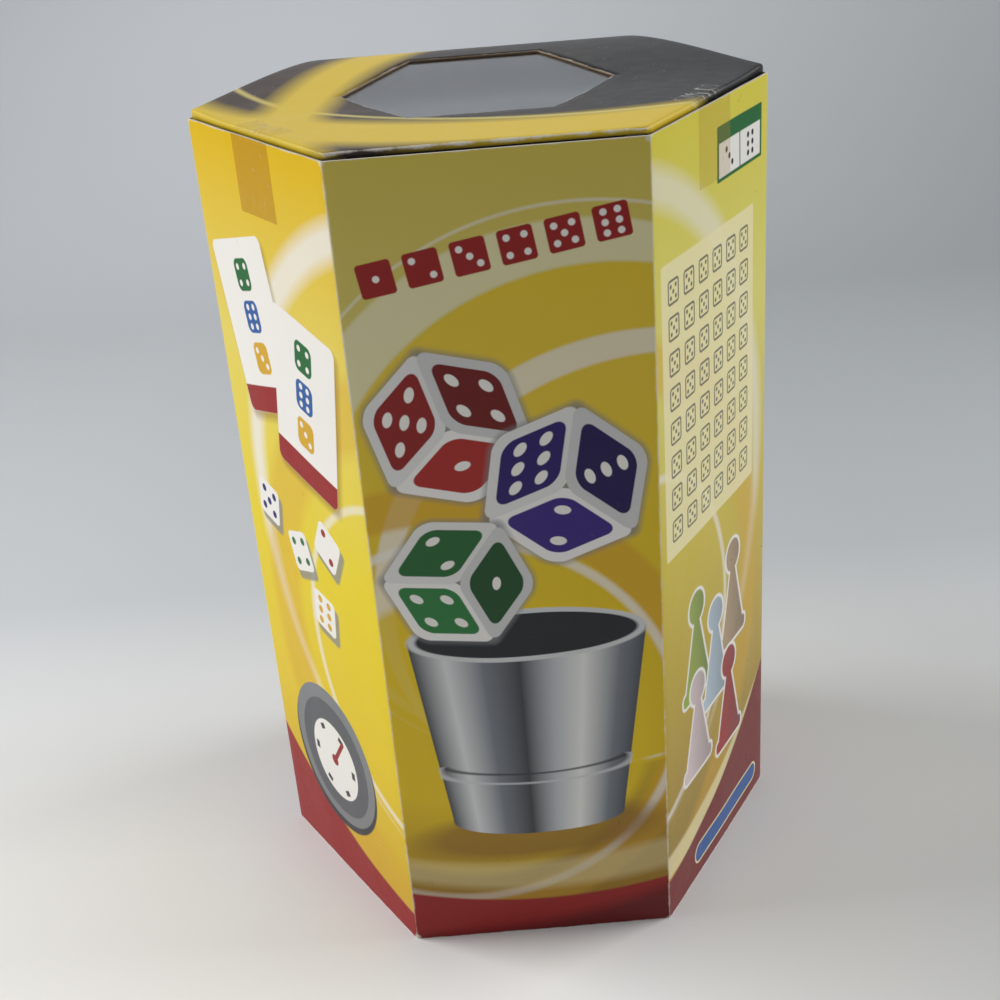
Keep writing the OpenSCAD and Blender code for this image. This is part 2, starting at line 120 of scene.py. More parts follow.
WHITE_INK = ink(236, 233, 226)
CREAM_INK = ink(238, 228, 178)
YELLOW_INK = ink(226, 193, 28)
PALE_INK = ink(226, 220, 176)
GOLD_INK = ink(212, 165, 38)
BROWN_INK = ink(140, 100, 36)
RED_INK = ink(150, 36, 34)
WEDGE_RED_INK = ink(120, 34, 32)
DEEP_RED_INK = ink(96, 24, 24)
PURPLE_INK = ink(44, 28, 104)
GREEN_INK = ink(36, 104, 52)
BLUE_INK = ink(48, 92, 158)
GREY_INK = ink(126, 128, 130)
DIAL_GREY_INK = ink(92, 94, 98)
SHADE_INK = ink(60, 60, 64)
BLACK_INK = ink(26, 26, 28)
LID_YELLOW_INK = ink(214, 184, 48)
LID_PALE_INK = ink(222, 206, 120)
BOARD_WHITE = ink(226, 222, 212)
BOARD_GREY = ink(150, 142, 130)
DUST = ink(200, 200, 198)

RED_FACES = (ink(168, 44, 38), ink(140, 34, 32), ink(112, 28, 28))
PURPLE_FACES = (ink(58, 40, 124), ink(44, 28, 104), ink(34, 20, 80))
GREEN_FACES = (ink(44, 122, 62), ink(36, 100, 50), ink(28, 78, 40))

FRONT_TONES = (ink(206, 188, 84), ink(212, 197, 112), ink(206, 178, 30), ink(198, 166, 30), ink(156, 122, 36))
LEFT_TONES = (ink(222, 182, 20), ink(226, 206, 92), ink(228, 205, 26), ink(224, 194, 30), ink(204, 164, 40))
RIGHT_TONES = (ink(216, 204, 70), ink(220, 212, 112), ink(204, 184, 62), ink(180, 153, 56), ink(136, 108, 46))


class Wire:
    """One output socket of a finish that takes part in Python arithmetic."""

    def __init__(self, desk: "Desk", socket: bpy.types.NodeSocket) -> None:
        """Keep the desk that owns the nodes and the socket."""
        self.desk = desk
        self.socket = socket

    @property
    def is_vector(self) -> bool:
        """Say whether the socket carries a vector."""
        return self.socket.type == "VECTOR"

    def join(self, operation: str, *others: "Operand", out: int = 0) -> "Wire":
        """Add a Math or Vector Math node over this wire; output 1 is a vector's length or product."""
        kind = "ShaderNodeVectorMath" if self.is_vector else "ShaderNodeMath"
        return self.desk.node(kind, {"operation": operation}, dict(enumerate([self, *others])), out)

    def __add__(self, other: "Operand") -> "Wire":
        """Add."""
        return self.join("ADD", other)

    __radd__ = __add__

    def __sub__(self, other: "Operand") -> "Wire":
        """Subtract."""
        return self.join("SUBTRACT", other)

    def __rsub__(self, other: "Operand") -> "Wire":
        """Subtract this wire from a number."""
        return self.desk.node("ShaderNodeMath", {"operation": "SUBTRACT"}, {0: other, 1: self})

    def __mul__(self, other: "Operand") -> "Wire":
        """Multiply; a vector is scaled by a number."""
        if self.is_vector and isinstance(other, (int, float)):
            return self.desk.node("ShaderNodeVectorMath", {"operation": "SCALE"}, {0: self, "Scale": other})
        return self.join("MULTIPLY", other)

    __rmul__ = __mul__

    def __truediv__(self, other: "Operand") -> "Wire":
        """Divide."""
        return self.join("DIVIDE", other)

    def __neg__(self) -> "Wire":
        """Turn the sign."""
        return self * -1.0

    def __abs__(self) -> "Wire":
        """Take the size without the sign."""
        return self.join("ABSOLUTE")

    def least(self, other: "Operand") -> "Wire":
        """Take the lesser of two."""
        return self.join("MINIMUM", other)

    def most(self, other: "Operand") -> "Wire":
        """Take the greater of two."""
        return self.join("MAXIMUM", other)

    def length(self) -> "Wire":
        """Measure a vector."""
        return self.join("LENGTH", out=1)

    def dot(self, other: Sequence[float]) -> "Wire":
        """Measure a vector along another."""
        return self.join("DOT_PRODUCT", tuple(other), out=1)

    def parts(self) -> Tuple["Wire", "Wire", "Wire"]:
        """Split a vector into x, y and z."""
        x, y, z = self.desk.node("ShaderNodeSeparateXYZ", {}, {0: self}).socket.node.outputs
        return Wire(self.desk, x), Wire(self.desk, y), Wire(self.desk, z)


Operand = Union[Wire, float, Sequence[float]]
Paint = Union[Wire, Colour]


class Desk:
    """The nodes of one material."""

    def __init__(self, name: str) -> None:
        """Make an empty material."""
        self.material = bpy.data.materials.new(name)
        self.material.use_nodes = True
        self.tree = self.material.node_tree
        self.tree.nodes.clear()

    def node(self, kind: str, settings: Dict[str, Any], sockets: Dict[Key, Operand], out: Key = 0) -> Wire:
        """Add one node.

        Args:
            kind: the node's type.
            settings: attributes of the node, set first; stops are a ramp's places and colours.
            sockets: values or wires for its inputs.
            out: the output to give back.

        Returns:
            The chosen output.
        """
        made = self.tree.nodes.new(kind)
        for key, value in settings.items():
            if key == "stops":
                self._stops(made.color_ramp, value)
            else:
                setattr(made, key, value)
        for key, value in sockets.items():
            self.feed(made.inputs[key], value)
        return Wire(self, made.outputs[out])

    @staticmethod
    def _stops(ramp: bpy.types.ColorRamp, stops: Stops) -> None:
        """Set a ramp's places and colours."""
        while len(ramp.elements) < len(stops):
            ramp.elements.new(1.0)
        for element, (position, colour) in zip(ramp.elements, stops):
            element.position = position
            element.color = colour

    def feed(self, socket: bpy.types.NodeSocket, value: Operand) -> None:
        """Link a wire to a socket, or set the socket's own value."""
        if isinstance(value, Wire):
            self.tree.links.new(value.socket, socket)
        elif socket.type == "VECTOR" and isinstance(value, (tuple, list)):
            socket.default_value = (*value, 0.0, 0.0)[:3]
        else:
            socket.default_value = value

    def mix(self, share: Operand, below: Paint, above: Paint) -> Wire:
        """Lay one colour over another by a share."""
        return self.node("ShaderNodeMix", {"data_type": "RGBA"}, {0: share, 6: below, 7: above}, 2)

    def map_range(self, value: Wire, low: float, high: float, start: float = 0.0, end: float = 1.0) -> Wire:
        """Carry a value from low..high to start..end, held at the ends."""
        sockets = {"Value": value, "From Min": low, "From Max": high, "To Min": start, "To Max": end}
        return self.node("ShaderNodeMapRange", {"clamp": True}, sockets)

    def ramp(self, value: Wire, stops: Stops) -> Wire:
        """Turn a value into a colour."""
        return self.node("ShaderNodeValToRGB", {"stops": stops}, {0: value})

    def combine(self, x: Operand, y: Operand, z: Operand = 0.0) -> Wire:
        """Make a vector of x, y and z."""
        return self.node("ShaderNodeCombineXYZ", {}, {0: x, 1: y, 2: z})

    def object_place(self) -> Wire:
        """Give the point's place on the object, in metres."""
        return self.node("ShaderNodeTexCoord", {}, {}, "Object")

    def print_place(self) -> Wire:
        """Give the point's place on the print, in millimetres."""
        return self.node("ShaderNodeUVMap", {"uv_map": PRINT_MAP}, {})

    def attribute(self, name: str) -> Wire:
        """Read a value that the mesh carries."""
        return self.node("ShaderNodeAttribute", {"attribute_name": name}, {}, "Fac")

    def noise(self, place: Wire, scale: float, detail: float = 2.0, roughness: float = 0.5) -> Wire:
        """Give smooth noise, about 0.5 on the whole."""
        sockets = {"Vector": place, "Scale": scale, "Detail": detail, "Roughness": roughness}
        return self.node("ShaderNodeTexNoise", {}, sockets)

    def bump(self, height: Wire, strength: float, distance: float) -> Wire:
        """Turn a height into a tilted normal."""
        sockets = {"Height": height, "Strength": strength, "Distance": distance}
        return self.node("ShaderNodeBump", {}, sockets)

    def surface(self, sockets: Dict[str, Operand], see_through: Optional[Operand] = None) -> Material:
        """End the material in a Principled surface.

        Args:
            sockets: values or wires for the surface.
            see_through: share of a clear surface mixed in, if any.

        Returns:
            The finished material.
        """
        shader = self.node("ShaderNodeBsdfPrincipled", {}, sockets)
        if see_through is not None:
            clear = self.node("ShaderNodeBsdfTransparent", {}, {})
            shader = self.node("ShaderNodeMixShader", {}, {0: see_through, 1: shader, 2: clear})
        end = self.tree.nodes.new("ShaderNodeOutputMaterial")
        self.feed(end.inputs["Surface"], shader)
        return self.material


class Pips(Enum):
    """The six faces of a die."""

    ONE = 1
    TWO = 2
    THREE = 3
    FOUR = 4
    FIVE = 5
    SIX = 6


class Brush:
    """Lays shapes of flat colour over a ground, one after another, as a printer does."""

    def __init__(self, desk: Desk, place: Wire, ground: Paint) -> None:
        """Start from a bare ground."""
        self.desk = desk
        self.place = place
        self.colour = ground

    def lay(self, distance: Wire, colour: Paint, soft: float = 0.2, strength: float = 1.0) -> None:
        """Cover a shape, given the distance outside it; soft is half the width of its faded edge."""
        share = self.desk.map_range(distance, soft, -soft, 0.0, strength)
        self.colour = self.desk.mix(share, self.colour, colour)

    def disc(self, centre: Place, radius: float) -> Wire:
        """Measure to a disc."""
        return self.place.join("DISTANCE", centre, out=1) - radius

    def turned(self, centre: Place, turn: float = 0.0, size: Span = (1.0, 1.0)) -> Wire:
        """Give places in a frame that is moved to a centre, turned in degrees and sized."""
        sockets = {
            "Vector": self.place,
            "Location": centre,
            "Rotation": (0.0, 0.0, math.radians(turn)),
            "Scale": (*size, 1.0),
        }
        return self.desk.node("ShaderNodeMapping", {"vector_type": "TEXTURE"}, sockets)

    def oval(self, centre: Place, half: Span, grade: float, turn: float = 0.0) -> Wire:
        """Measure to an oval; the grade turns shares of its size into millimetres."""
        return (self.turned(centre, turn, half).length() - 1.0) * grade

    @staticmethod
    def slab(local: Wire, half: Span, corner: float) -> Wire:
        """Measure to a box with rounded corners about the local origin."""
        inner = (half[0] - corner, half[1] - corner, 1.0)
        return abs(local).join("SUBTRACT", inner).join("MAXIMUM", (0.0, 0.0, 0.0)).length() - corner

    def block(self, centre: Place, half: Span, corner: float, turn: float = 0.0) -> Wire:
        """Measure to a box with rounded corners about a centre."""
        return self.slab(self.turned(centre, turn), half, corner)

    def pips(self, local: Wire, count: Pips, spread: float = 0.5, radius: float = 0.2) -> Wire:
        """Measure to the pips of a die's face, whose sides lie at -1 and 1.

        Args:
            local: the place on the face.
            count: which face it is.
            spread: how far the outer pips lie from the middle.
            radius: the radius of a pip.

        Returns:
            The distance outside the nearest pip.
        """
        middle = local.length() - radius
        if count is Pips.ONE:
            return middle
        if count in (Pips.TWO, Pips.THREE):
            along = abs(local.dot((DIAGONAL, DIAGONAL, 0.0))) - spread / DIAGONAL
            across = local.dot((DIAGONAL, -DIAGONAL, 0.0))
            pair = self.desk.combine(along, across).length() - radius
            return pair if count is Pips.TWO else pair.least(middle)
        if count is Pips.SIX:
            x, y, _ = abs(local).parts()
            row = y.least(abs(y - 1.2 * spread))
            return self.desk.combine(x - 0.8 * spread, row).length() - radius
        four = abs(local).join("SUBTRACT", (spread, spread, 0.0)).length() - radius
        return four if count is Pips.FOUR else four.least(middle)

    def face(
        self, local: Wire, half: float, colour: Paint, count: Pips, corner: float, pip: Paint = WHITE_INK
    ) -> None:
        """Lay a die's face, whose sides lie at -1 and 1 locally; half its side is in millimetres."""
        self.lay(self.slab(local, (1.0, 1.0), corner) * half, colour)
        self.lay(self.pips(local, count) * half, pip)


class Motif(Protocol):
    """Anything that can be laid on a print."""

    def lay(self, brush: Brush) -> None:
        """Lay the motif."""


class Curve(Enum):
    """What a sweep covers: inside a circle, outside it, along it, or what a second circle leaves of it."""

    INSIDE = "inside"
    OUTSIDE = "outside"
    BAND = "band"
    CRESCENT = "crescent"


@dataclass(frozen=True)
class Sweep:
    """One curved field of colour, drawn with a circle; it may start at a height down the panel."""

    curve: Curve
    circle: Circle
    colour: Colour
    soft: float
    strength: float = 1.0
    half: float = 0.0
    cut: Circle = ((0.0, 0.0), 0.0)
    start: Optional[float] = None

    def lay(self, brush: Brush) -> None:
        """Lay the sweep."""
        distance = brush.disc(*self.circle)
        if self.curve is Curve.OUTSIDE:
            distance = -distance
        elif self.curve is Curve.BAND:
            distance = abs(distance) - self.half
        elif self.curve is Curve.CRESCENT:
            distance = distance.most(-brush.disc(*self.cut))
        if self.start is not None:
            distance = distance.most(self.start - brush.place.parts()[1])
        brush.lay(distance, self.colour, self.soft, self.strength)


@dataclass(frozen=True)
class Block:
    """One field of colour with rounded corners, turned in degrees."""

    centre: Place
    half: Span
    corner: float
    colour: Colour
    turn: float = 0.0
    soft: float = 0.2
    strength: float = 1.0

    def lay(self, brush: Brush) -> None:
        """Lay the field."""
        distance = brush.block(self.centre, self.half, self.corner, self.turn)
        brush.lay(distance, self.colour, self.soft, self.strength)


@dataclass(frozen=True)
class Tile:
    """A die's face seen straight on, turned in degrees; its rounding is a share of half its side."""

    centre: Place
    half: float
    colour: Colour
    count: Pips
    pip: Colour = WHITE_INK
    turn: float = 0.0
    corner: float = 0.22

    def lay(self, brush: Brush) -> None:
        """Lay the face."""
        local = brush.turned(self.centre, self.turn, (self.half, self.half))
        brush.face(local, self.half, self.colour, self.count, self.corner, self.pip)


@dataclass(frozen=True)
class DrawnDie:
    """A die seen corner on: three slanted faces that meet at its near corner.

    Its shade, its body and its coloured faces are each a half side and a rounding, as shares of half an edge.
    """

    corner: Place
    side: float
    turn: float
    colours: Tuple[Colour, ...]
    counts: Tuple[Pips, ...]
    tones: Tuple[Colour, ...] = (ink(236, 234, 230), ink(222, 221, 218), ink(204, 204, 203))
    shade: Span = (1.16, 0.4)
    body: Span = (1.06, 0.36)
    face: Span = (0.8, 0.4)

    def faces(self, brush: Brush) -> List[Wire]:
        """Give places on each face, whose sides lie at -1 and 1.

        Two edges that leave the near corner span a face. A place's share along one edge is its cross product
        with the other edge, over the cross product of the two.

        Args:
            brush: the brush that holds the print's places.

        Returns:
            One place for each face.
        """
        angles = np.radians(self.turn + np.array([0.0, 120.0, 240.0]))
        edges = self.side * np.stack([np.cos(angles), np.sin(angles)], axis=1)
        faces: List[Wire] = []
        for first, second in zip(edges, np.roll(edges, -1, axis=0)):
            area = first[0] * second[1] - first[1] * second[0]
            along = 2.0 * np.array([second[1], -second[0]]) / area
            across = 2.0 * np.array([-first[1], first[0]]) / area
            x, y = (
                brush.place.dot((*axis, 0.0)) - float(axis @ np.array(self.corner) + 1.0)
                for axis in (along, across)
            )
            faces.append(brush.desk.combine(x, y))
        return faces

    def lay(self, brush: Brush) -> None:
        """Lay the shade, the body and the coloured faces."""
        faces = self.faces(brush)
        half = self.side / 2.0
        for local in faces:
            brush.lay(brush.slab(local, (self.shade[0],) * 2, self.shade[1]) * half, GREY_INK, 1.2, 0.6)
        for local, tone in zip(faces, self.tones):
            brush.lay(brush.slab(local, (self.body[0],) * 2, self.body[1]) * half, tone)
        share, rounding = self.face
        for local, colour, count in zip(faces, self.colours, self.counts):
            brush.face(local * (1.0 / share), half * share, colour, count, rounding)


@dataclass(frozen=True)
class Cup:
    """A tapered silver cup with a dark round mouth, a bead round its body and a shade below."""

    x: float = 49.0
    middle_y: float = 201.0
    half: Span = (35.5, 38.0)
    taper: float = 0.13
    foot_y: float = 239.0
    foot_half: Span = (30.6, 7.5)
    shade_y: float = 246.0
    shade_half: Span = (44.0, 11.0)
    mouth_y: float = 163.0
    mouth: Tuple[Tuple[Span, Colour], ...] = (
        ((40.5, 10.2), ink(206, 208, 208)), ((37.6, 8.4), ink(38, 40, 44)),
    )
    bead_half: Span = (34.5, 8.2)
    bead_from: float = 215.0
    beads: Tuple[Tuple[float, Colour], ...] = ((212.0, SHADE_INK), (216.0, ink(200, 202, 204)))
    shine: Stops = (
        (0.0, ink(70, 74, 80)),
        (0.14, ink(214, 216, 216)),
        (0.3, ink(120, 126, 134)),
        (0.46, ink(66, 68, 72)),
        (0.6, ink(180, 184, 188)),
        (0.74, ink(226, 226, 222)),
        (0.9, ink(120, 126, 134)),
        (1.0, ink(80, 84, 90)),
    )

    def lay(self, brush: Brush) -> None:
        """Lay the shade, the body with its bead, and the mouth."""
        brush.lay(brush.oval((self.x, self.shade_y), self.shade_half, 1.0, -3.0), BROWN_INK, 0.2, 0.75)
        x, y, _ = brush.turned((self.x, self.middle_y)).parts()
        half = self.half[0] - y * self.taper
        body = (abs(x) - half).most(abs(y) - self.half[1])
        silver = brush.desk.ramp((x / half) * 0.5 + 0.5, self.shine)
        brush.lay(brush.oval((self.x, self.foot_y), self.foot_half, 12.0), silver)
        brush.lay(body, silver)
        below = self.bead_from - brush.place.parts()[1]
        for height, colour in self.beads:
            bead = abs(brush.oval((self.x, height), self.bead_half, 10.0))
            brush.lay(bead.most(below).most(body) - 0.5, colour, 0.3, 0.8)
        for mouth_half, colour in self.mouth:
            brush.lay(brush.oval((self.x, self.mouth_y), mouth_half, 10.0), colour)


@dataclass(frozen=True)
class Card:
    """A white card with a red foot and three die faces, turned in degrees."""

    centre: Place
    turn: float
    half: Span = (20.5, 30.5)
    corner: float = 3.2
    shade_step: Place = (1.5, 2.0)
    shade_half: Span = (21.0, 31.0)
    shade_corner: float = 3.5
    foot_from: float = 21.0
    faces: Tuple[Tuple[Colour, Pips], ...] = (
        (GREEN_INK, Pips.FOUR), (BLUE_INK, Pips.SIX), (GOLD_INK, Pips.THREE),
    )
    face_half: float = 5.6
    face_corner: float = 0.5
    first_face: float = -18.0
    face_step: float = 14.5

    def lay(self, brush: Brush) -> None:
        """Lay the card over its shade."""
        shade_at = moved(self.centre, self.shade_step)
        Block(shade_at, self.shade_half, self.shade_corner, BROWN_INK, self.turn, 1.6, 0.55).lay(brush)
        local = brush.turned(self.centre, self.turn)
        sheet = brush.slab(local, self.half, self.corner)
        brush.lay(sheet, WHITE_INK)
        brush.lay(sheet.most(self.foot_from - local.parts()[1]), RED_INK)
        turn = math.radians(self.turn)
        for index, (tint, count) in enumerate(self.faces):
            down = self.first_face + self.face_step * index
            spot = moved(self.centre, (-math.sin(turn) * down, math.cos(turn) * down))
            Tile(spot, self.face_half, tint, count, turn=self.turn, corner=self.face_corner).lay(brush)


@dataclass(frozen=True)
class FlatDie:
    """A small white die with coloured pips, seen straight on over its shade."""

    centre: Place
    turn: float
    count: Pips
    tint: Colour
    half: float = 7.6
    corner: float = 0.3
    shade_half: Span = (8.0, 8.0)
    shade_step: Place = (2.0, 2.4)

    def lay(self, brush: Brush) -> None:
        """Lay the die over its shade."""
        shade_at = moved(self.centre, self.shade_step)
        rounding = self.corner * self.shade_half[0]
        Block(shade_at, self.shade_half, rounding, GREY_INK, self.turn, 0.6, 0.8).lay(brush)
        Tile(self.centre, self.half, WHITE_INK, self.count, self.tint, self.turn, self.corner).lay(brush)


@dataclass(frozen=True)
class Timer:
    """A grey round timer with a pale dial, six marks and a red hand.

    Each disc has its step down from the centre, its radius, its colour and the softness of its edge.
    """

    centre: Place = (45.0, 238.0)
    discs: Tuple[Tuple[float, float, Colour, float], ...] = (
        (0.0, 31.0, SHADE_INK, 0.3),
        (-2.0, 30.0, GREY_INK, 0.2),
        (-1.0, 25.0, DIAL_GREY_INK, 0.2),
        (0.0, 17.0, WHITE_INK, 0.2),
    )
    mark_r: float = 14.0
    mark_half: Span = (1.2, 1.7)
    mark_turns: Tuple[float, ...] = (0.0, 60.0, 120.0)
    hand_step: Place = (4.0, -5.5)
    hand_half: Span = (8.0, 1.0)
    hand_turn: float = -54.0
    hub_r: float = 2.4

    def lay(self, brush: Brush) -> None:
        """Lay the case, the dial, the marks and the hand."""
        for down, radius, colour, soft in self.discs:
            brush.lay(brush.disc(moved(self.centre, (0.0, down)), radius), colour, soft)
        for turn in self.mark_turns:
            x, y, _ = brush.turned(self.centre, turn).parts()
            mark = abs(abs(x) - self.mark_r) - self.mark_half[0]
            brush.lay(mark.most(abs(y) - self.mark_half[1]), SHADE_INK)
        hand_at = moved(self.centre, self.hand_step)
        Block(hand_at, self.hand_half, 0.8, RED_INK, self.hand_turn).lay(brush)
        brush.lay(brush.disc(self.centre, self.hub_r), RED_INK)


@dataclass(frozen=True)
class FaceTable:
    """Rows of tiny die faces in outline, all drawn in one cell that repeats."""

    rows_at: Place = (43.0, 92.2)
    first: Place = (7.5, 45.0)
    pitch: float = 11.8
    counts: Tuple[int, int] = (6, 8)
    half: float = 3.7
    line: float = 0.4
    strength: float = 0.85

    def lay(self, brush: Brush) -> None:
        """Lay the faces."""
        cell = brush.place.join("SUBTRACT", self.first).join("MODULO", (self.pitch, self.pitch, 1.0))
        local = (cell - (self.pitch / 2.0, self.pitch / 2.0)) * (1.0 / self.half)
        rows_half = (self.counts[0] * self.pitch / 2.0, self.counts[1] * self.pitch / 2.0)
        outside = brush.block(self.rows_at, rows_half, 3.0)
        face = (brush.slab(local, (1.0, 1.0), 0.3) * self.half).most(outside)
        brush.lay(abs(face) - self.line, SHADE_INK, 0.2, self.strength)
        pips = brush.pips(local, Pips.FIVE) * self.half
        brush.lay(pips.most(outside), SHADE_INK, 0.2, self.strength)


@dataclass(frozen=True)
class Pawn:
    """A pawn edged in white: a round head, a skirt that widens downwards and a foot."""

    head: Place
    tint: Colour
    head_r: float = 6.4
    skirt_drop: float = 20.0
    skirt_half: Span = (6.6, 15.0)
    flare: float = 0.3
    foot_drop: float = 34.0
    foot_half: Span = (12.4, 2.6)
    edge: float = 1.3
    shade_reach: float = 9.0
    shade_share: float = 0.45

    def lay(self, brush: Brush) -> None:
        """Lay the pawn, darker to the right."""
        x, y, _ = brush.turned(moved(self.head, (0.0, self.skirt_drop))).parts()
        skirt = (abs(x) - self.skirt_half[0] - y * self.flare).most(abs(y) - self.skirt_half[1])
        foot = brush.block(moved(self.head, (0.0, self.foot_drop)), self.foot_half, 2.0)
        pawn = brush.disc(self.head, self.head_r).least(skirt).least(foot)
        brush.lay(pawn - self.edge, WHITE_INK, 0.3)
        right = brush.desk.map_range(x, -self.shade_reach, self.shade_reach)
        shade = brush.desk.mix(right, self.tint, SHADE_INK)
        brush.lay(pawn, brush.desk.mix(self.shade_share, self.tint, shade), 0.3)


FRONT_MOTIFS: Tuple[Motif, ...] = (
    Sweep(Curve.INSIDE, ((78, 128), 92), YELLOW_INK, 0.6, 0.8),
    Sweep(Curve.CRESCENT, ((70, 118), 96), PALE_INK, 0.7, 0.9, cut=((78, 128), 92)),
    Sweep(Curve.BAND, ((72, 118), 101), WHITE_INK, 0.4, 0.5, half=0.5),
    Sweep(Curve.CRESCENT, ((92, 150), 92), WHITE_INK, 0.6, 0.65, cut=((96, 156), 90)),
    Sweep(Curve.BAND, ((20, 196), 84), GOLD_INK, 1.2, 0.8, half=7),
    Sweep(Curve.BAND, ((26, 200), 74), WHITE_INK, 0.8, 0.7, half=1.6),
    Sweep(Curve.INSIDE, ((30, 204), 60), YELLOW_INK, 2, 0.9),
    *(
        Tile((12 + 14.2 * step, 36 - 2.4 * step), 5.4, RED_INK, count, turn=-9.5)
        for step, count in enumerate(Pips)
    ),
    Sweep(Curve.OUTSIDE, ((52, 90), 158), BROWN_INK, 14, 0.5),
    Sweep(Curve.CRESCENT, ((52, 96), 176), CREAM_INK, 2, 0.35, cut=((46, 70), 190)),
    Sweep(Curve.OUTSIDE, ((50, 96), 181), RED_INK, 0.5),
    Sweep(Curve.OUTSIDE, ((16, 84), 207), DEEP_RED_INK, 3, 0.8),
    Cup(),
    DrawnDie((29, 86), 27, 14, RED_FACES, (Pips.ONE, Pips.FIVE, Pips.FOUR)),
    DrawnDie((65, 109), 28, 40, PURPLE_FACES, (Pips.TWO, Pips.SIX, Pips.THREE)),
    DrawnDie((28, 141), 25, 66, GREEN_FACES, (Pips.FOUR, Pips.TWO, Pips.ONE)),
)
LEFT_MOTIFS: Tuple[Motif, ...] = (
    Sweep(Curve.CRESCENT, ((130, 130), 118), WHITE_INK, 3, 0.8, cut=((136, 138), 116)),
    Sweep(Curve.BAND, ((128, 178), 104), GOLD_INK, 3, 0.5, half=12),
    Sweep(Curve.BAND, ((112, 176), 66), WHITE_INK, 0.8, 0.6, half=1.4),
    Sweep(Curve.CRESCENT, ((96, 120), 168), CREAM_INK, 1, 0.8, cut=((100, 108), 172)),
    Sweep(Curve.OUTSIDE, ((104, 116), 164), RED_INK, 0.6),
    Card((31, 66), -13),
    Card((62, 86), 11),
    FlatDie((20, 136), 12, Pips.FIVE, PURPLE_INK),
    FlatDie((42, 148), -18, Pips.FOUR, GREEN_INK),
    FlatDie((64, 138), 28, Pips.TWO, RED_INK),
    FlatDie((55, 168), 8, Pips.SIX, GOLD_INK),
    Timer(),
)
RIGHT_MOTIFS: Tuple[Motif, ...] = (
    Sweep(Curve.CRESCENT, ((-34, 128), 124), WHITE_INK, 3, 0.55, cut=((-40, 136), 122)),
    Sweep(Curve.BAND, ((-30, 176), 108), GOLD_INK, 3, 0.5, half=9),
    Sweep(Curve.BAND, ((-16, 178), 70), WHITE_INK, 0.8, 0.6, half=1.4),
    Sweep(Curve.CRESCENT, ((4, 124), 150), CREAM_INK, 1, 0.7, cut=((0, 108), 156)),
    Sweep(Curve.OUTSIDE, ((-14, 122), 154), WEDGE_RED_INK, 0.6, start=200),
    Block((56, 282), (32, 4.6), 4.4, CREAM_INK),
    Block((56, 282), (31.2, 3.8), 3.7, BLUE_INK),
    Block((43, 92), (38.5, 51), 1, CREAM_INK, strength=0.85),
    FaceTable(),
    Block((69, 17.5), (20, 9), 0.6, GREEN_INK),
    Block((59.6, 19.7), (9, 5.6), 0.3, WHITE_INK),
    Tile((59.6, 19.7), 5, WHITE_INK, Pips.THREE, BLACK_INK),
    Block((78.4, 19.7), (9, 5.6), 0.3, WHITE_INK),
    Tile((78.4, 19.7), 5, WHITE_INK, Pips.SIX, BLACK_INK),
    Pawn((28, 172), ink(150, 170, 70)),
    Pawn((62, 168), ink(176, 150, 116)),
    Pawn((45, 184), ink(178, 194, 206)),
    Pawn((28, 206), ink(214, 196, 196)),
    Pawn((58, 212), ink(164, 52, 50)),
)
LID_MOTIFS: Tuple[Motif, ...] = (
    Sweep(Curve.BAND, ((24, 92), 160), LID_YELLOW_INK, 5, half=15),
    Sweep(Curve.BAND, ((34, 78), 131), LID_PALE_INK, 0.8, 0.7, half=1.2),
    Sweep(Curve.BAND, ((110, -40), 172), LID_YELLOW_INK, 5, half=11),
)


@dataclass(frozen=True)
class Rub:
    """Print that is worn off: noise above its start bares the board as far as its reach, in millimetres."""

    start: float
    reach: float
    soft: float
    strength: float
    colour: Colour = BOARD_WHITE

    def lay(self, brush: Brush, noise: Wire, distance: Operand = 0.0) -> None:
        """Wear the print off near a line that lies a distance away, or in specks where no line is given."""
        brush.lay(distance - (noise - self.start) * self.reach, self.colour, self.soft, self.strength)


@dataclass(frozen=True)
class CartonPrint(ABC):
    """Varnished print on board: a ground, motifs laid one over another, and wear."""

    name: str
    motifs: Tuple[Motif, ...]
    gloss: float = 0.24
    shine: float = 0.25
    rub_scale: float = 160.0
    fine_scale: float = 900.0
    wave_scale: float = 45.0
    specks: Rub = Rub(0.8, 10.0, 0.5, 0.25)

    @abstractmethod
    def ground(self, desk: Desk, place: Wire) -> Wire:
        """Give the colour under the motifs."""

    @abstractmethod
    def worn_lines(self, brush: Brush) -> List[Tuple[Rub, Wire]]:
        """Give each way in which the print wears, with the distance to its line in millimetres."""

    def material(self) -> Material:
        """Make the material."""
        desk = Desk(self.name)
        place = desk.print_place()
        brush = Brush(desk, place, self.ground(desk, place))
        for motif in self.motifs:
            motif.lay(brush)
        spot = desk.object_place()
        coarse = desk.noise(spot, self.rub_scale, 3.0, 0.65)
        fine = desk.noise(spot, self.fine_scale)
        for rub, distance in self.worn_lines(brush):
            rub.lay(brush, coarse, distance)
        self.specks.lay(brush, fine)
        waves = desk.noise(spot, self.wave_scale)
        return desk.surface({
            "Base Color": brush.colour,
            "Roughness": self.gloss + coarse * 0.12,
            "Specular IOR Level": self.shine,
            "Normal": desk.bump(waves + fine * 0.04, 0.35, 1.2 * MM),
        })


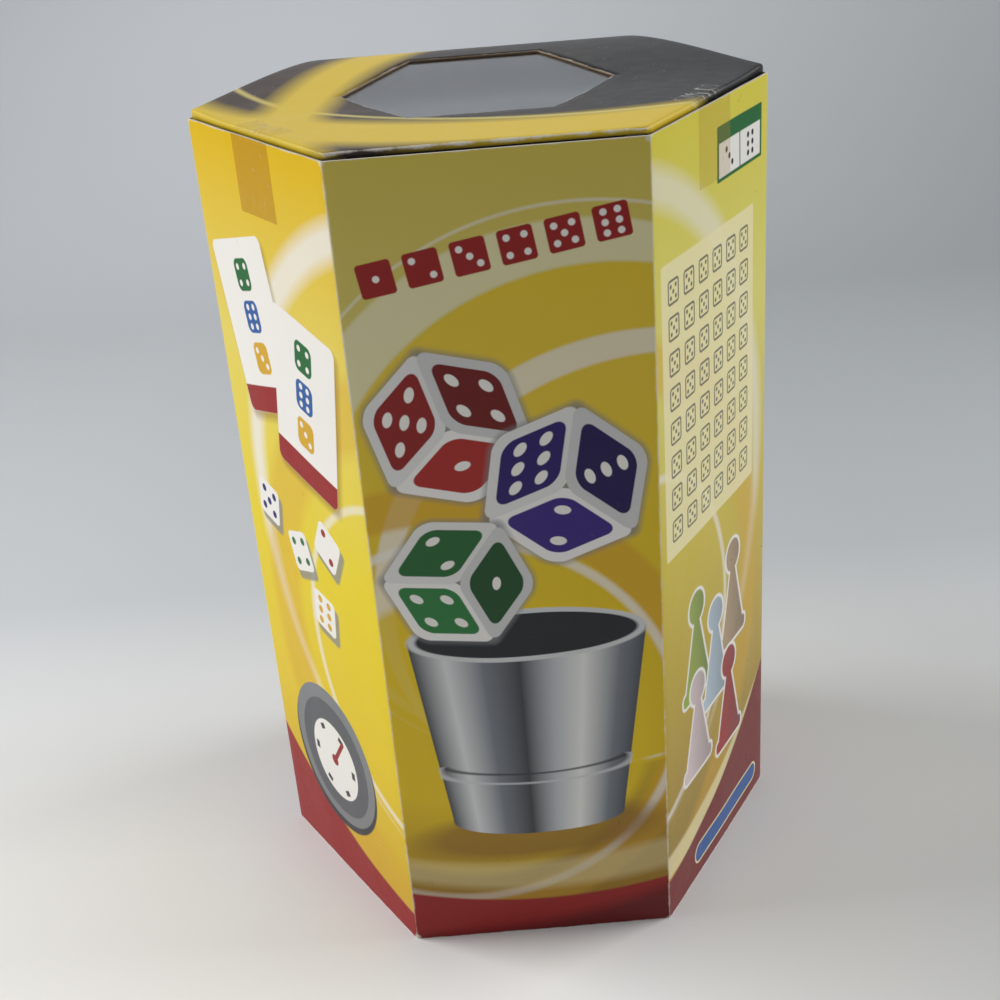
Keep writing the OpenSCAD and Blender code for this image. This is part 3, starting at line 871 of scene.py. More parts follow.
@dataclass(frozen=True, kw_only=True)
class PanelPrint(CartonPrint):
    """The print of a side panel, worn along its creases and its cut edges and at its corners."""

    size: Span
    tones: Tuple[Colour, ...]
    crease_rub: Rub = Rub(0.38, 2.0, 0.3, 0.5)
    cut_rub: Rub = Rub(0.34, 1.2, 0.2, 0.65)
    corner_rub: Rub = Rub(0.2, 4.0, 0.6, 0.7)

    def ground(self, desk: Desk, place: Wire) -> Wire:
        """Give a ground whose tones follow each other from the top down."""
        steps = np.linspace(0.0, 1.0, len(self.tones)).tolist()
        return desk.ramp(place.parts()[1] * (1.0 / self.size[1]), list(zip(steps, self.tones)))

    def worn_lines(self, brush: Brush) -> List[Tuple[Rub, Wire]]:
        """Give the wear along the nearer crease, along the nearer cut edge and at the nearest corner.

        Args:
            brush: the brush that holds the print's places.

        Returns:
            Each way of wearing, with the distance to its line.
        """
        x, y, _ = brush.place.parts()
        side = x.least(self.size[0] - x)
        end = y.least(self.size[1] - y)
        corner = brush.desk.combine(side, end).length()
        return [(self.crease_rub, side), (self.cut_rub, end), (self.corner_rub, corner)]


@dataclass(frozen=True)
class LidPrint(CartonPrint):
    """The dark lid: yellow sweeps on black, dusty and scuffed. Places are from the lid's middle."""

    gloss: float = 0.3
    left_inks: Tuple[Colour, Colour] = (ink(48, 37, 31), ink(78, 63, 54))
    right_inks: Tuple[Colour, Colour] = (ink(24, 24, 25), ink(46, 45, 45))
    turn_over: Span = (-70.0, 60.0)
    dust_scale: float = 0.05
    # Bares board along the window's edge and on the front fold's crest; the pale crest line is partly a
    # painted highlight.
    edge_rub_and_highlight: Rub = Rub(0.35, 2.0, 0.25, 0.75)
    specks: Rub = Rub(0.73, 10.0, 0.3, 0.5, DUST)

    def ground(self, desk: Desk, place: Wire) -> Wire:
        """Give a dark ground, a little dusty, brown on the left and near black on the right."""
        dust = desk.noise(place, self.dust_scale, 3.0)
        right = desk.map_range(place.parts()[0], *self.turn_over)
        return desk.mix(right, desk.mix(dust, *self.left_inks), desk.mix(dust, *self.right_inks))

    def worn_lines(self, brush: Brush) -> List[Tuple[Rub, Wire]]:
        """Give the wear along the window's edge, and the pale line along the front fold's crest, which is
        partly wear and partly a painted highlight.
        """
        return [(self.edge_rub_and_highlight, brush.desk.attribute(EDGE_MAP))]


@dataclass(frozen=True)
class Finish:
    """A plain finish with a fine grain: paint, plastic, paper, rubber or metal."""

    name: str
    colour: Colour
    roughness: float = 0.4
    metallic: float = 0.0
    grain: float = 0.15
    coat: float = 0.0
    grain_scale: float = 900.0
    grain_depth: float = 0.2 * MM
    cloud_scale: float = 60.0
    mottle: float = 0.12

    def material(self) -> Material:
        """Make the material: a lightly mottled colour under a fine grain."""
        desk = Desk(self.name)
        spot = desk.object_place()
        cloud = desk.noise(spot, self.cloud_scale, 3.0)
        grain = desk.noise(spot, self.grain_scale)
        darker = (*(part * (1.0 - self.mottle) for part in self.colour[:3]), 1.0)
        return desk.surface({
            "Base Color": desk.mix(cloud, darker, self.colour),
            "Roughness": self.roughness + (cloud - 0.5) * self.mottle,
            "Metallic": self.metallic,
            "Coat Weight": self.coat,
            "Normal": desk.bump(grain, self.grain, self.grain_depth),
        })


class FinishShelf:
    """The plain finishes by material slot; each is made once and shared by the pieces that take it."""

    PLAIN = (
        Finish("carton_print", ink(140, 34, 32), 0.35),
        Finish("bare_board", ink(196, 192, 182), 0.75, grain=0.4),
        Finish("card_stock", ink(236, 234, 228), 0.35),
        Finish("tray_plastic", ink(70, 72, 76), 0.5, grain=0.3),
        Finish("foot_rubber", ink(34, 34, 34), 0.85, grain=0.4),
        Finish("dice_plastic", ink(240, 238, 232), 0.2, coat=0.4),
        Finish("dome_silver", ink(186, 188, 192), 0.3, 0.75, coat=0.3),
        Finish("black_plastic", ink(24, 24, 26), 0.2, coat=0.3),
        Finish("inner_plastic", ink(70, 70, 74), 0.55, grain=0.3),
        Finish("steel", ink(196, 196, 196), 0.3, 1.0),
        Finish("circuit_green", ink(30, 110, 66)),
        Finish("chip_black", ink(28, 28, 30), 0.5),
        Finish("speaker_frame", ink(88, 90, 94), 0.45, 0.3),
        Finish("cell_wrap", ink(216, 128, 36), 0.3),
        Finish("membrane_rubber", ink(150, 150, 152), 0.8),
    )
    GLOSSY = {
        "head_white": ink(240, 240, 237),
        "face_red": ink(176, 34, 30),
        "face_purple": ink(54, 34, 124),
        "face_yellow": ink(232, 192, 36),
        "face_green": ink(30, 124, 60),
        "face_orange": ink(230, 120, 30),
        "face_blue": ink(36, 86, 172),
    }

    def __init__(self) -> None:
        """Lay out the finishes; none is made yet."""
        glossy = (Finish(slot, colour, 0.25, coat=0.3) for slot, colour in self.GLOSSY.items())
        self.finishes = {finish.name: finish for finish in (*self.PLAIN, *glossy)}
        self.made: Dict[str, Material] = {}

    def take(self, slot: str) -> Material:
        """Give a slot's material, made on its first use."""
        if slot not in self.made:
            self.made[slot] = self.finishes[slot].material()
        return self.made[slot]


@dataclass(frozen=True)
class FilmFinish:
    """Clear window film: it lets light through face on and mirrors at a glancing angle."""

    name: str = "window_film"
    tint: Colour = ink(236, 238, 244)
    index: float = 1.5
    roughness: float = 0.08
    wave_scale: float = 30.0

    def material(self) -> Material:
        """Make the material; the mirrored share follows the fifth power of the facing angle."""
        desk = Desk(self.name)
        waves = desk.noise(desk.object_place(), self.wave_scale)
        facing = desk.node("ShaderNodeLayerWeight", {}, {"Blend": 0.5}, "Facing")
        straight = ((self.index - 1.0) / (self.index + 1.0)) ** 2
        mirror = facing.join("POWER", 5.0) * (1.0 - straight) + straight
        sockets = {
            "Base Color": self.tint,
            "Metallic": 1.0,
            "Roughness": self.roughness,
            "Normal": desk.bump(waves, 0.1, 2.0 * MM),
        }
        return desk.surface(sockets, see_through=1.0 - mirror)


@dataclass(frozen=True)
class TapeFinish:
    """Aged clear tape: a thin amber tint with pale creases, drawn out along the tape."""

    name: str
    tint: Colour
    cover: float
    crease_from: float = 0.62
    crease_cover: float = 0.3
    crease_fade: float = 0.12
    crease_size: Span = (1.6, 3.0)
    crease: Colour = ink(238, 230, 200)
    roughness: float = 0.22

    def material(self) -> Material:
        """Make the material."""
        desk = Desk(self.name)
        across, along = self.crease_size
        place = desk.print_place().join("MULTIPLY", (1.0 / across, 1.0 / along, 1.0))
        folds = desk.noise(place, 1.0, 3.0, 0.6)
        pale = desk.map_range(folds, self.crease_from, self.crease_from + self.crease_fade)
        sockets = {
            "Base Color": desk.mix(pale, self.tint, self.crease),
            "Roughness": self.roughness,
            "Normal": desk.bump(folds, 0.4, 0.6 * MM),
        }
        return desk.surface(sockets, see_through=1.0 - (pale * self.crease_cover + self.cover))


@dataclass(frozen=True)
class TabFinish:
    """Board that is printed on its outer side only: the side is told by a plane at mid thickness."""

    name: str
    normal: Point
    offset: float
    outside: Colour = ink(40, 38, 37)
    inside: Colour = BOARD_GREY
    fade: float = 0.05 * MM
    dust_scale: float = 300.0
    scuff: Tuple[float, float, float, float] = (0.66, 0.8, 0.0, 0.3)

    @classmethod
    def for_node(cls, name: str, node: Object) -> "TabFinish":
        """Find the plane from the node's broadest outer face.

        Mirrored tabs share the plane, with x taken without its sign.

        Args:
            name: the finish's name.
            node: the tab's solid.

        Returns:
            The finish, with the plane's outward normal and its distance from the origin.
        """
        faces = node.data.polygons
        normals, middles = np.empty((2, len(faces), 3))
        areas = np.empty(len(faces))
        points = np.empty((len(node.data.vertices), 3))
        faces.foreach_get("normal", normals.reshape(-1))
        faces.foreach_get("center", middles.reshape(-1))
        faces.foreach_get("area", areas)
        node.data.vertices.foreach_get("co", points.reshape(-1))
        outward = (normals[:, :2] * middles[:, :2]).sum(axis=1) > 0.0
        best = int(np.argmax(np.where(outward, areas, 0.0)))
        mirror = np.array([1.0 if middles[best, 0] >= 0.0 else -1.0, 1.0, 1.0])
        normal = normals[best] * mirror
        same_side = (points * mirror)[points[:, 0] * mirror[0] >= 0.0]
        return cls(name, tuple(normal.tolist()), float((same_side @ normal).mean()))

    def material(self) -> Material:
        """Make the material."""
        desk = Desk(self.name)
        spot = desk.object_place()
        x, y, z = spot.parts()
        height = desk.combine(abs(x), y, z).dot(self.normal) - self.offset
        printed = desk.map_range(height, -self.fade, self.fade)
        dust = desk.noise(spot, self.dust_scale, 3.0, 0.6)
        board = desk.mix(dust * 0.25, self.inside, BOARD_WHITE)
        print_side = desk.mix(desk.map_range(dust, *self.scuff), self.outside, BOARD_WHITE)
        return desk.surface({
            "Base Color": desk.mix(printed, board, print_side),
            "Roughness": 0.8 - printed * 0.4,
            "Normal": desk.bump(dust, 0.3, 0.3 * MM),
        })


@dataclass(frozen=True)
class LeafletFinish:
    """Folded white paper with a red band, two rows of die faces and a crease at mid height in painted shade.
    """

    name: str
    corner: Place
    size: Span
    papers: Tuple[Colour, Colour] = (ink(226, 225, 219), ink(242, 241, 236))
    fibre_scale: float = 1400.0
    band: Span = (14.0, 5.0)
    tints: Tuple[Colour, ...] = (PURPLE_INK, GREEN_INK, GOLD_INK, RED_INK, BLUE_INK, GREY_INK)
    columns: int = 3
    first_row: float = 38.0
    row_step: float = 26.0
    face_half: float = 8.0

    def material(self) -> Material:
        """Make the material: places are millimetres from the leaflet's top left corner."""
        desk = Desk(self.name)
        spot = desk.object_place()
        x, _, z = spot.parts()
        place = desk.combine((x - self.corner[0]) * (1.0 / MM), (self.corner[1] - z) * (1.0 / MM))
        fibre = desk.noise(spot, self.fibre_scale, 3.0)
        brush = Brush(desk, place, desk.mix(fibre, *self.papers))
        width, height = self.size[0] / MM, self.size[1] / MM
        down = place.parts()[1]
        brush.lay(abs(down - self.band[0]) - self.band[1], RED_INK)
        for index, (count, tint) in enumerate(zip(Pips, self.tints)):
            row, column = divmod(index, self.columns)
            centre = (width * (column + 0.5) / self.columns, self.first_row + self.row_step * row)
            Tile(centre, self.face_half, tint, count).lay(brush)
        # Painted shade: a soft grey line along the fold at mid height.
        brush.lay(abs(down - height / 2.0) - 0.3, GREY_INK, 0.5, 0.5)
        return desk.surface({
            "Base Color": brush.colour,
            "Roughness": 0.55,
            "Normal": desk.bump(fibre, 0.2, 0.2 * MM),
        })


class Role(NamedTuple):
    """What a piece moves with, where its finish is listed and which solid it stands for."""

    body: str
    slot: str
    node: str


def stand_in(mesh: Mesh, materials: Sequence[Material], role: Role) -> Object:
    """Make a piece of a mesh, under the mesh's name, and let it take its role.

    Args:
        mesh: its mesh, in place.
        materials: its materials, in the order of the faces' marks.
        role: its body and its solid.

    Returns:
        The piece.
    """
    for material in materials:
        mesh.materials.append(material)
    made = show(mesh.name, mesh)
    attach(made, role.body)
    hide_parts(role.node)
    log.info("%s: %d faces on %s", made.name, len(mesh.polygons), role.body)
    return made


def shade_smooth(work: bmesh.types.BMesh) -> None:
    """Shade faces smooth and keep sharp folds sharp."""
    for face in work.faces:
        face.smooth = True
    for edge in work.edges:
        edge.smooth = edge.calc_face_angle(0.0) < SHARP_FOLD


class Shape:
    """Grids of points that are gathered, welded and made into one piece."""

    def __init__(self) -> None:
        """Start with nothing."""
        self.points: List[Array] = []
        self.faces: List[Array] = []
        self.marks: List[Array] = []
        self.places: List[Array] = []
        self.edges: List[Array] = []
        self.count = 0

    def add(
        self, points: Array, quads: Array, mark: int = 0,
        places: Optional[Array] = None, edge: Optional[Array] = None,
    ) -> None:
        """Add points and the four-sided faces between them.

        Args:
            points: the points.
            quads: four indices into the points for each face.
            mark: index of the faces' material.
            places: the print's place at each point, in millimetres.
            edge: the distance to the piece's edge at each point, in millimetres.
        """
        flat = np.zeros((len(points), 2)) if places is None else places
        self.points.append(points)
        self.faces.append(quads + self.count)
        self.marks.append(np.full(len(quads), mark))
        self.places.append(flat[quads].reshape(-1, 2))
        self.edges.append(np.full(len(points), FAR_EDGE) if edge is None else edge)
        self.count += len(points)

    def grid(
        self, points: Array, mark: int = 0, places: Optional[Array] = None, edge: Optional[Array] = None
    ) -> None:
        """Add a grid of points joined by four-sided faces.

        Args:
            points: rows by columns by 3.
            mark: index of the grid's material.
            places: rows by columns by 2, the print's places in millimetres.
            edge: rows by columns, the distance to the piece's edge in millimetres.
        """
        rows, columns = points.shape[:2]
        index = np.arange(rows * columns).reshape(rows, columns)
        corners = (index[:-1, :-1], index[:-1, 1:], index[1:, 1:], index[1:, :-1])
        quads = np.stack(corners, axis=-1).reshape(-1, 4)
        flat = None if places is None else places.reshape(-1, 2)
        rim = None if edge is None else edge.reshape(-1)
        self.add(points.reshape(-1, 3), quads, mark, flat, rim)

    def lathe(self, profile: Sequence[Span], centre: Array, axis: Array, steps: int = 48) -> None:
        """Add a turned solid: a closed profile of radii and heights carried round an axis.

        Args:
            profile: radius and height of each corner, from the axis round to the axis again.
            centre: the point from which heights count.
            axis: the unit vector along which they count.
            steps: points round the circle.
        """
        aside = unit(np.cross(axis, [1.0, 0.0, 0.0] if abs(axis[0]) < 0.9 else [0.0, 1.0, 0.0]))
        turn = np.linspace(0.0, 2.0 * math.pi, steps + 1)[:, None]
        circle = np.cos(turn) * aside + np.sin(turn) * np.cross(axis, aside)
        radius, height = np.array(profile).T[..., None, None]
        self.grid(centre + radius * circle + height * axis)

    def slab(
        self, top: Array, bottom: Array, marks: Tuple[int, int, int], places: Optional[Array] = None
    ) -> None:
        """Add a closed slab between two grids of one size.

        Args:
            top: the upper or outer grid.
            bottom: the lower or inner grid.
            marks: materials of the top, the bottom and the edges.
            places: the print's places on the top.
        """
        self.grid(top, marks[0], places)
        self.grid(bottom[:, ::-1], marks[1])
        sides = (np.s_[0], np.s_[-1, ::-1], np.s_[::-1, 0], np.s_[:, -1])
        for side in sides:
            self.grid(np.stack([bottom[side], top[side]]), marks[2])

    def mesh(self, name: str, closed: bool = True) -> Mesh:
        """Weld the grids into one mesh with its print places and edge distances.

        Points that coincide are joined, flat faces are dropped, and the faces of a closed mesh turn outwards.

        Args:
            name: the mesh's name.
            closed: whether the grids close; an open sheet keeps its faces as they are.

        Returns:
            The mesh.
        """
        mesh = bpy.data.meshes.new(name)
        mesh.from_pydata(np.concatenate(self.points).tolist(), [], np.concatenate(self.faces).tolist())
        mesh.polygons.foreach_set("material_index", np.concatenate(self.marks).astype(np.int32))
        layer = mesh.uv_layers.new(name=PRINT_MAP)
        layer.data.foreach_set("uv", np.concatenate(self.places).astype(np.float32).ravel())
        rim = mesh.attributes.new(EDGE_MAP, "FLOAT", "POINT")
        rim.data.foreach_set("value", np.concatenate(self.edges).astype(np.float32))
        work = bmesh.new()
        work.from_mesh(mesh)
        bmesh.ops.remove_doubles(work, verts=work.verts, dist=WELD)
        bmesh.ops.dissolve_degenerate(work, edges=work.edges, dist=FLAT_FACE)
        if closed:
            bmesh.ops.recalc_face_normals(work, faces=work.faces)
        shade_smooth(work)
        work.to_mesh(mesh)
        work.free()
        mesh.update()
        return mesh


class Side(Enum):
    """The carton's six panels, by the number of the corner that each starts from."""

    RIGHT_FRONT = 0
    RIGHT_BACK = 1
    BACK = 2
    LEFT_BACK = 3
    LEFT_FRONT = 4
    FRONT = 5


TAPED_SIDES = (Side.LEFT_FRONT, Side.RIGHT_FRONT)
SKIRTED_SIDES = (Side.LEFT_FRONT, Side.FRONT, Side.RIGHT_FRONT)


@dataclass
class Outline:
    """The carton's six-sided plan, worked out from the sleeve's box."""

    half_d: float
    corner_x: float
    height: float

    @classmethod
    def from_frame(cls) -> "Outline":
        """Read the plan from the sleeve's node."""
        _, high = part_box("carton_sleeve")
        return cls(float(high.y), float(high.x), float(high.z))

    @property
    def panel_w(self) -> float:
        """Give the width of a panel: all six are alike."""
        c, h = self.corner_x, self.half_d
        return (-c + math.sqrt(c * c + 3.0 * (c * c + h * h))) / 1.5

    def corners(self, inset: float = 0.0) -> Array:
        """Give the six corners, set inwards by a distance from every panel's outer face."""
        width = self.panel_w
        nx, ny = self.half_d / width, (self.corner_x - width / 2.0) / width
        y = self.half_d - inset
        side_x = self.corner_x - inset / nx
        edge_x = (nx * self.corner_x - inset - ny * y) / nx
        return np.array([
            [edge_x, -y], [side_x, 0.0], [edge_x, y], [-edge_x, y], [-side_x, 0.0], [-edge_x, -y],
        ])

    def run(self, side: Side) -> Tuple[Array, Array, Array]:
        """Give a panel's first corner, its direction and its outward normal."""
        points = self.corners()
        start, end = points[side.value], points[(side.value + 1) % 6]
        along = unit(end - start)
        return start, along, np.array([along[1], -along[0]])


@dataclass
class Sleeve:
    """The printed sleeve: six panels with rounded creases, pushed out a little by use."""

    shelf: FinishShelf
    outline: Outline
    board_t: float
    crease_r: float = 1.2 * MM
    bulge: float = 0.5 * MM
    ripple: float = 0.12 * MM
    ripple_run: Span = (6.3 * MM, 14.0 * MM)
    ripple_shift: Span = (1.7, 2.3)
    end_swell: float = 0.35
    arc_columns: int = 3
    flat_columns: int = 24
    rows: int = 44
    flap_w: float = 14.0 * MM
    flap_ends: Span = (18.0 * MM, 234.0 * MM)
    flap_columns: int = 6
    glue_gap: float = 0.02 * MM

    def swell(self, side: Side, along: Array, z: Array) -> Array:
        """Say how far a panel is pushed out.

        The push is the bulge times the sine across the panel times a gentle rise to mid height, with a
        ripple of two crossed sines that also dies out at the creases and shifts from panel to panel.

        Args:
            side: the panel.
            along: distance from the panel's left crease.
            z: height.

        Returns:
            The push along the panel's outward normal.
        """
        across = np.sin(np.pi * np.clip(along / self.outline.panel_w, 0.0, 1.0))
        upward = self.end_swell + (1.0 - self.end_swell) * np.sin(np.pi * z / self.outline.height)
        run, rise = self.ripple_run
        shift, lift = self.ripple_shift
        waves = np.sin(along / run + shift * side.value) * np.sin(z / rise + lift * side.value)
        return across * (self.bulge * upward + self.ripple * waves)

    def crease(self, side: Side, at_end: bool) -> Tuple[Array, Array, Array]:
        """Trace a panel's half of one crease: an arc that touches both panels.

        Args:
            side: the panel.
            at_end: whether it is the panel's last crease.

        Returns:
            Points, unit normals and distances along the panel.
        """
        width = self.outline.panel_w
        start, along, normal = self.outline.run(side)
        tangent = np.array([-normal[1], normal[0]])
        other = Side((side.value + (1 if at_end else -1)) % 6)
        half = 0.5 * math.acos(float(np.clip(normal @ self.outline.run(other)[2], -1.0, 1.0)))
        reach = self.crease_r * math.tan(half)
        steps = np.linspace(1.0, 0.0, self.arc_columns + 1)
        turn = half * (steps[::-1] if at_end else -steps)
        normals = np.cos(turn)[:, None] * normal + np.sin(turn)[:, None] * tangent
        foot = start + along * ((width - reach) if at_end else reach) - normal * self.crease_r
        share = np.abs(turn) / half
        distance = (width - reach + reach * share) if at_end else reach * (1.0 - share)
        return foot + self.crease_r * normals, normals, distance

    def section(self, side: Side) -> Tuple[Array, Array, Array]:
        """Trace one panel's outer line from mid crease to mid crease, straight between the creases.

        Args:
            side: the panel.

        Returns:
            Points, unit normals and distances along the panel.
        """
        start, along, normal = self.outline.run(side)
        first, last = self.crease(side, False), self.crease(side, True)
        flat = np.linspace(first[2][-1], last[2][0], self.flat_columns + 1)[1:-1]
        middle = (start + flat[:, None] * along, np.tile(normal, (len(flat), 1)), flat)
        points, normals, distances = (np.concatenate(three) for three in zip(first, middle, last))
        return points, normals, distances

    def wall(self, side: Side, depth: float) -> Tuple[Array, Array]:
        """Give one panel's grid at a depth below its outer face, and its print places."""
        points, normals, along = self.section(side)
        z = np.linspace(0.0, self.outline.height, self.rows + 1)[:, None]
        push = self.swell(side, along[None, :], z) - depth
        plan = points[None] + normals[None] * push[..., None]
        places = np.stack(np.broadcast_arrays(along[None, :], self.outline.height - z), axis=-1) / MM
        return raised(plan, z), places

    def patch(self, side: Side, along: Array, z: Array, lift: Array) -> Array:
        """Give points on a panel from distances past its left crease, heights and lifts off its face."""
        start, run, normal = self.outline.run(side)
        push = (self.swell(side, along, z) + lift)[..., None]
        return raised(start + along[..., None] * run + push * normal, z)

    def add_flap(self, shape: Shape) -> None:
        """Add the glue flap, a strip of board inside the left back panel beside its first crease."""
        across = self.board_t + np.linspace(0.0, self.flap_w, self.flap_columns)
        along, z = np.meshgrid(across, np.linspace(*self.flap_ends, self.rows))
        outer, inner = (
            self.patch(Side.LEFT_BACK, along, z, np.full(z.shape, -depth))
            for depth in (self.board_t + self.glue_gap, 2.0 * self.board_t)
        )
        shape.slab(outer, inner, (3, 3, 4))

    def materials(self) -> List[Material]:
        """Make the front, left and right prints, the bare board and the board's cut edge."""
        size = (self.outline.panel_w / MM, self.outline.height / MM)
        prints = (
            PanelPrint("print_front", FRONT_MOTIFS, size=size, tones=FRONT_TONES),
            PanelPrint("print_left", LEFT_MOTIFS, shine=0.1, size=size, tones=LEFT_TONES),
            PanelPrint("print_right", RIGHT_MOTIFS, size=size, tones=RIGHT_TONES),
        )
        core = Finish("board_edge", ink(214, 206, 190), 0.85, grain=0.6)
        return [*(print_.material() for print_ in prints), self.shelf.take("bare_board"), core.material()]

    def build(self) -> Object:
        """Build the sleeve, dress it and let it stand for its node; opposite panels share a print."""
        shape = Shape()
        for side in Side:
            outer, places = self.wall(side, 0.0)
            inner, _ = self.wall(side, self.board_t)
            shape.grid(outer, 2 - side.value % 3, places)
            shape.grid(inner[:, ::-1], 3)
            shape.grid(np.stack([outer[-1], inner[-1]]), 4)
            shape.grid(np.stack([inner[0], outer[0]]), 4)
        self.add_flap(shape)
        role = Role("carton", "carton_print", "carton_sleeve")
        return stand_in(shape.mesh("carton_sleeve_skin"), self.materials(), role)


@dataclass
class Lid:
    """The tuck lid: dark board bowed up towards its hinge, folded down at its edges, with a window."""

    outline: Outline
    board_t: float
    inset: float = 1.5 * MM
    front_rise: float = 2.2 * MM
    crest_rise: float = 6.8 * MM
    hinge_rise: float = 1.0 * MM
    hinge_sink: float = 0.8
    crest_inset: float = 29.0 * MM
    hump_run: float = 70.0 * MM
    fold_r: float = 1.2 * MM
    window_side: float = 46.0 * MM
    film_rim: float = 9.0 * MM
    film_t: float = 0.2 * MM
    film_gap: float = 0.05 * MM
    columns: int = 26
    flat_rows: int = 14
    fold_rows: int = 5
    side_skirt: float = -0.4 * MM
    front_skirt: float = 0.35 * MM
    cut_edge: float = 0.15
    plain_edge: float = 9.0

    def bow(self, y: Array) -> Array:
        """Give the lid's height above the sleeve's edge.

        It is level at the front, eases up to the crest, and falls as a parabola to the hinge.

        Args:
            y: places from front to back.

        Returns:
            Heights above the sleeve's edge.
        """
        crest_y = self.outline.half_d - self.inset - self.crest_inset
        share = np.clip((y - crest_y + self.hump_run) / self.hump_run, 0.0, 1.0)
        ease = share * share * (3.0 - 2.0 * share)
        rising = self.front_rise + (self.crest_rise - self.front_rise) * ease
        past = np.clip((y - crest_y) / self.crest_inset, 0.0, 1.0)
        return np.where(y < crest_y, rising, self.crest_rise - (self.crest_rise - self.hinge_rise) * past**2)

    def edge_points(self, side: Side, along: Array, path: Array, lift: Array) -> Array:
        """Give points on the lid's folded edge.

        The path starts at the fold's lower end, climbs a quarter round of the fold's radius and goes inwards.

        Args:
            side: the edge.
            along: distances from the panel's left crease.
            path: distances up the fold and inwards.
            lift: distances off the lid.

        Returns:
            The points, in the same grid.
        """
        start, run, normal = self.outline.run(side)
        turn = np.clip(path / self.fold_r, 0.0, QUARTER)
        inwards = np.clip(path - self.fold_r * QUARTER, 0.0, None)
        depth = self.inset + self.fold_r * (1.0 - np.cos(turn)) + inwards - lift * np.cos(turn)
        plan = start + along[..., None] * run - depth[..., None] * normal
        sunk = self.fold_r * (1.0 - np.sin(turn))
        return raised(plan, self.outline.height + self.bow(plan[..., 1]) - sunk + lift * np.sin(turn))

    @staticmethod
    def hexagon(side: float) -> Array:
        """Give the corners of a window of that side, in the outline's order."""
        angles = np.radians(np.arange(-60.0, 300.0, 60.0))
        return side * np.stack([np.cos(angles), np.sin(angles)], axis=1)

    def line(self, corners: Array, side: Side) -> Array:
        """Give points along one edge of a six-sided outline."""
        start, end = corners[side.value], corners[(side.value + 1) % 6]
        return start + np.linspace(0.0, 1.0, self.columns)[:, None] * (end - start)

    def fold_row(self, side: Side, step: float) -> Array:
        """Give one row of points over a fold.

        At the hinge the rows go outwards and sink as a parabola. Elsewhere they go a quarter round down.

        Args:
            side: the fold.
            step: how far over the fold, from 0 to 1.

        Returns:
            The row, with heights above the sleeve's edge.
        """
        reach = self.inset + self.fold_r
        if side is Side.BACK:
            line = self.line(self.outline.corners(reach - step * (reach - self.board_t / 2.0)), side)
            return raised(line, self.hinge_rise * (1.0 - self.hinge_sink * step**2))
        turn = step * QUARTER
        line = self.line(self.outline.corners(reach - self.fold_r * math.sin(turn)), side)
        return raised(line, self.bow(line[:, 1]) - self.fold_r * (1.0 - math.cos(turn)))

    def sector(self, side: Side) -> Tuple[Array, Array, Array]:
        """Trace one sixth of the lid's upper face, from the window outwards and over its fold.

        Args:
            side: the sector's edge.

        Returns:
            Points, print places and distances to the edges, in millimetres.
        """
        inner = self.line(self.hexagon(self.window_side), side)
        outer = self.line(self.outline.corners(self.inset + self.fold_r), side)
        out = np.linspace(0.0, 1.0, self.flat_rows)[:, None]
        plan = inner + out[..., None] * (outer - inner)
        rows = [raised(plan, self.bow(plan[..., 1]))]
        edges = [out * np.linalg.norm(outer - inner, axis=1) / MM + self.cut_edge]
        for step in np.linspace(0.0, 1.0, self.fold_rows)[1:]:
            rows.append(self.fold_row(side, step)[None])
            # On the front fold the edge distance runs to the fold's crest, so a pale line is worn there:
            # partly wear, partly a painted highlight along the crest.
            crest = abs(step - 0.5) * self.fold_r / MM if side is Side.FRONT else self.plain_edge
            edges.append(np.full((1, self.columns), crest))
        if side in SKIRTED_SIDES:
            skirt = self.front_skirt if side is Side.FRONT else self.side_skirt
            rows.append(raised(rows[-1][..., :2], skirt))
            edges.append(np.full((1, self.columns), self.plain_edge))
        points = np.concatenate(rows)[:, ::-1]
        places = points[..., :2] / MM
        return points + self.outline.height * UP, places, np.concatenate(edges)[:, ::-1]

    def build(self) -> Object:
        """Build the lid's board, dress it and let it stand for its node."""
        shape = Shape()
        for side in Side:
            points, places, edge = self.sector(side)
            shape.grid(points, 0, places, edge)
        finishes = (
            LidPrint("print_lid", LID_MOTIFS),
            Finish("lid_board", BOARD_GREY, 0.8, grain=0.4),
            Finish("lid_edge", ink(132, 112, 88), 0.85, grain=0.6),
        )
        role = Role("lid", "lid_print", "lid_panel")
        mesh = shape.mesh("lid_board", closed=False)
        made = stand_in(mesh, [finish.material() for finish in finishes], role)
        thick = made.modifiers.new("board", "SOLIDIFY")
        thick.thickness = self.board_t
        thick.offset = -1.0
        thick.material_offset = 1
        thick.material_offset_rim = 2
        return made

    def build_film(self) -> Object:
        """Build the clear film under the window and let it stand for its node."""
        shape = Shape()
        out = np.linspace(0.0, 1.0, self.columns)[:, None, None]
        for side in Side:
            plan = (out * self.line(self.hexagon(self.window_side + self.film_rim), side))[:, ::-1]
            top = self.outline.height + self.bow(plan[..., 1]) - self.board_t - self.film_gap
            upper = raised(plan, top)
            lower = upper - self.film_t * UP
            shape.grid(upper)
            shape.grid(lower[:, ::-1])
            shape.grid(np.stack([upper[-1], lower[-1]]))
        role = Role("lid", "clear_film", "window_film")
        return stand_in(shape.mesh("window_film_sheet"), [FilmFinish().material()], role)


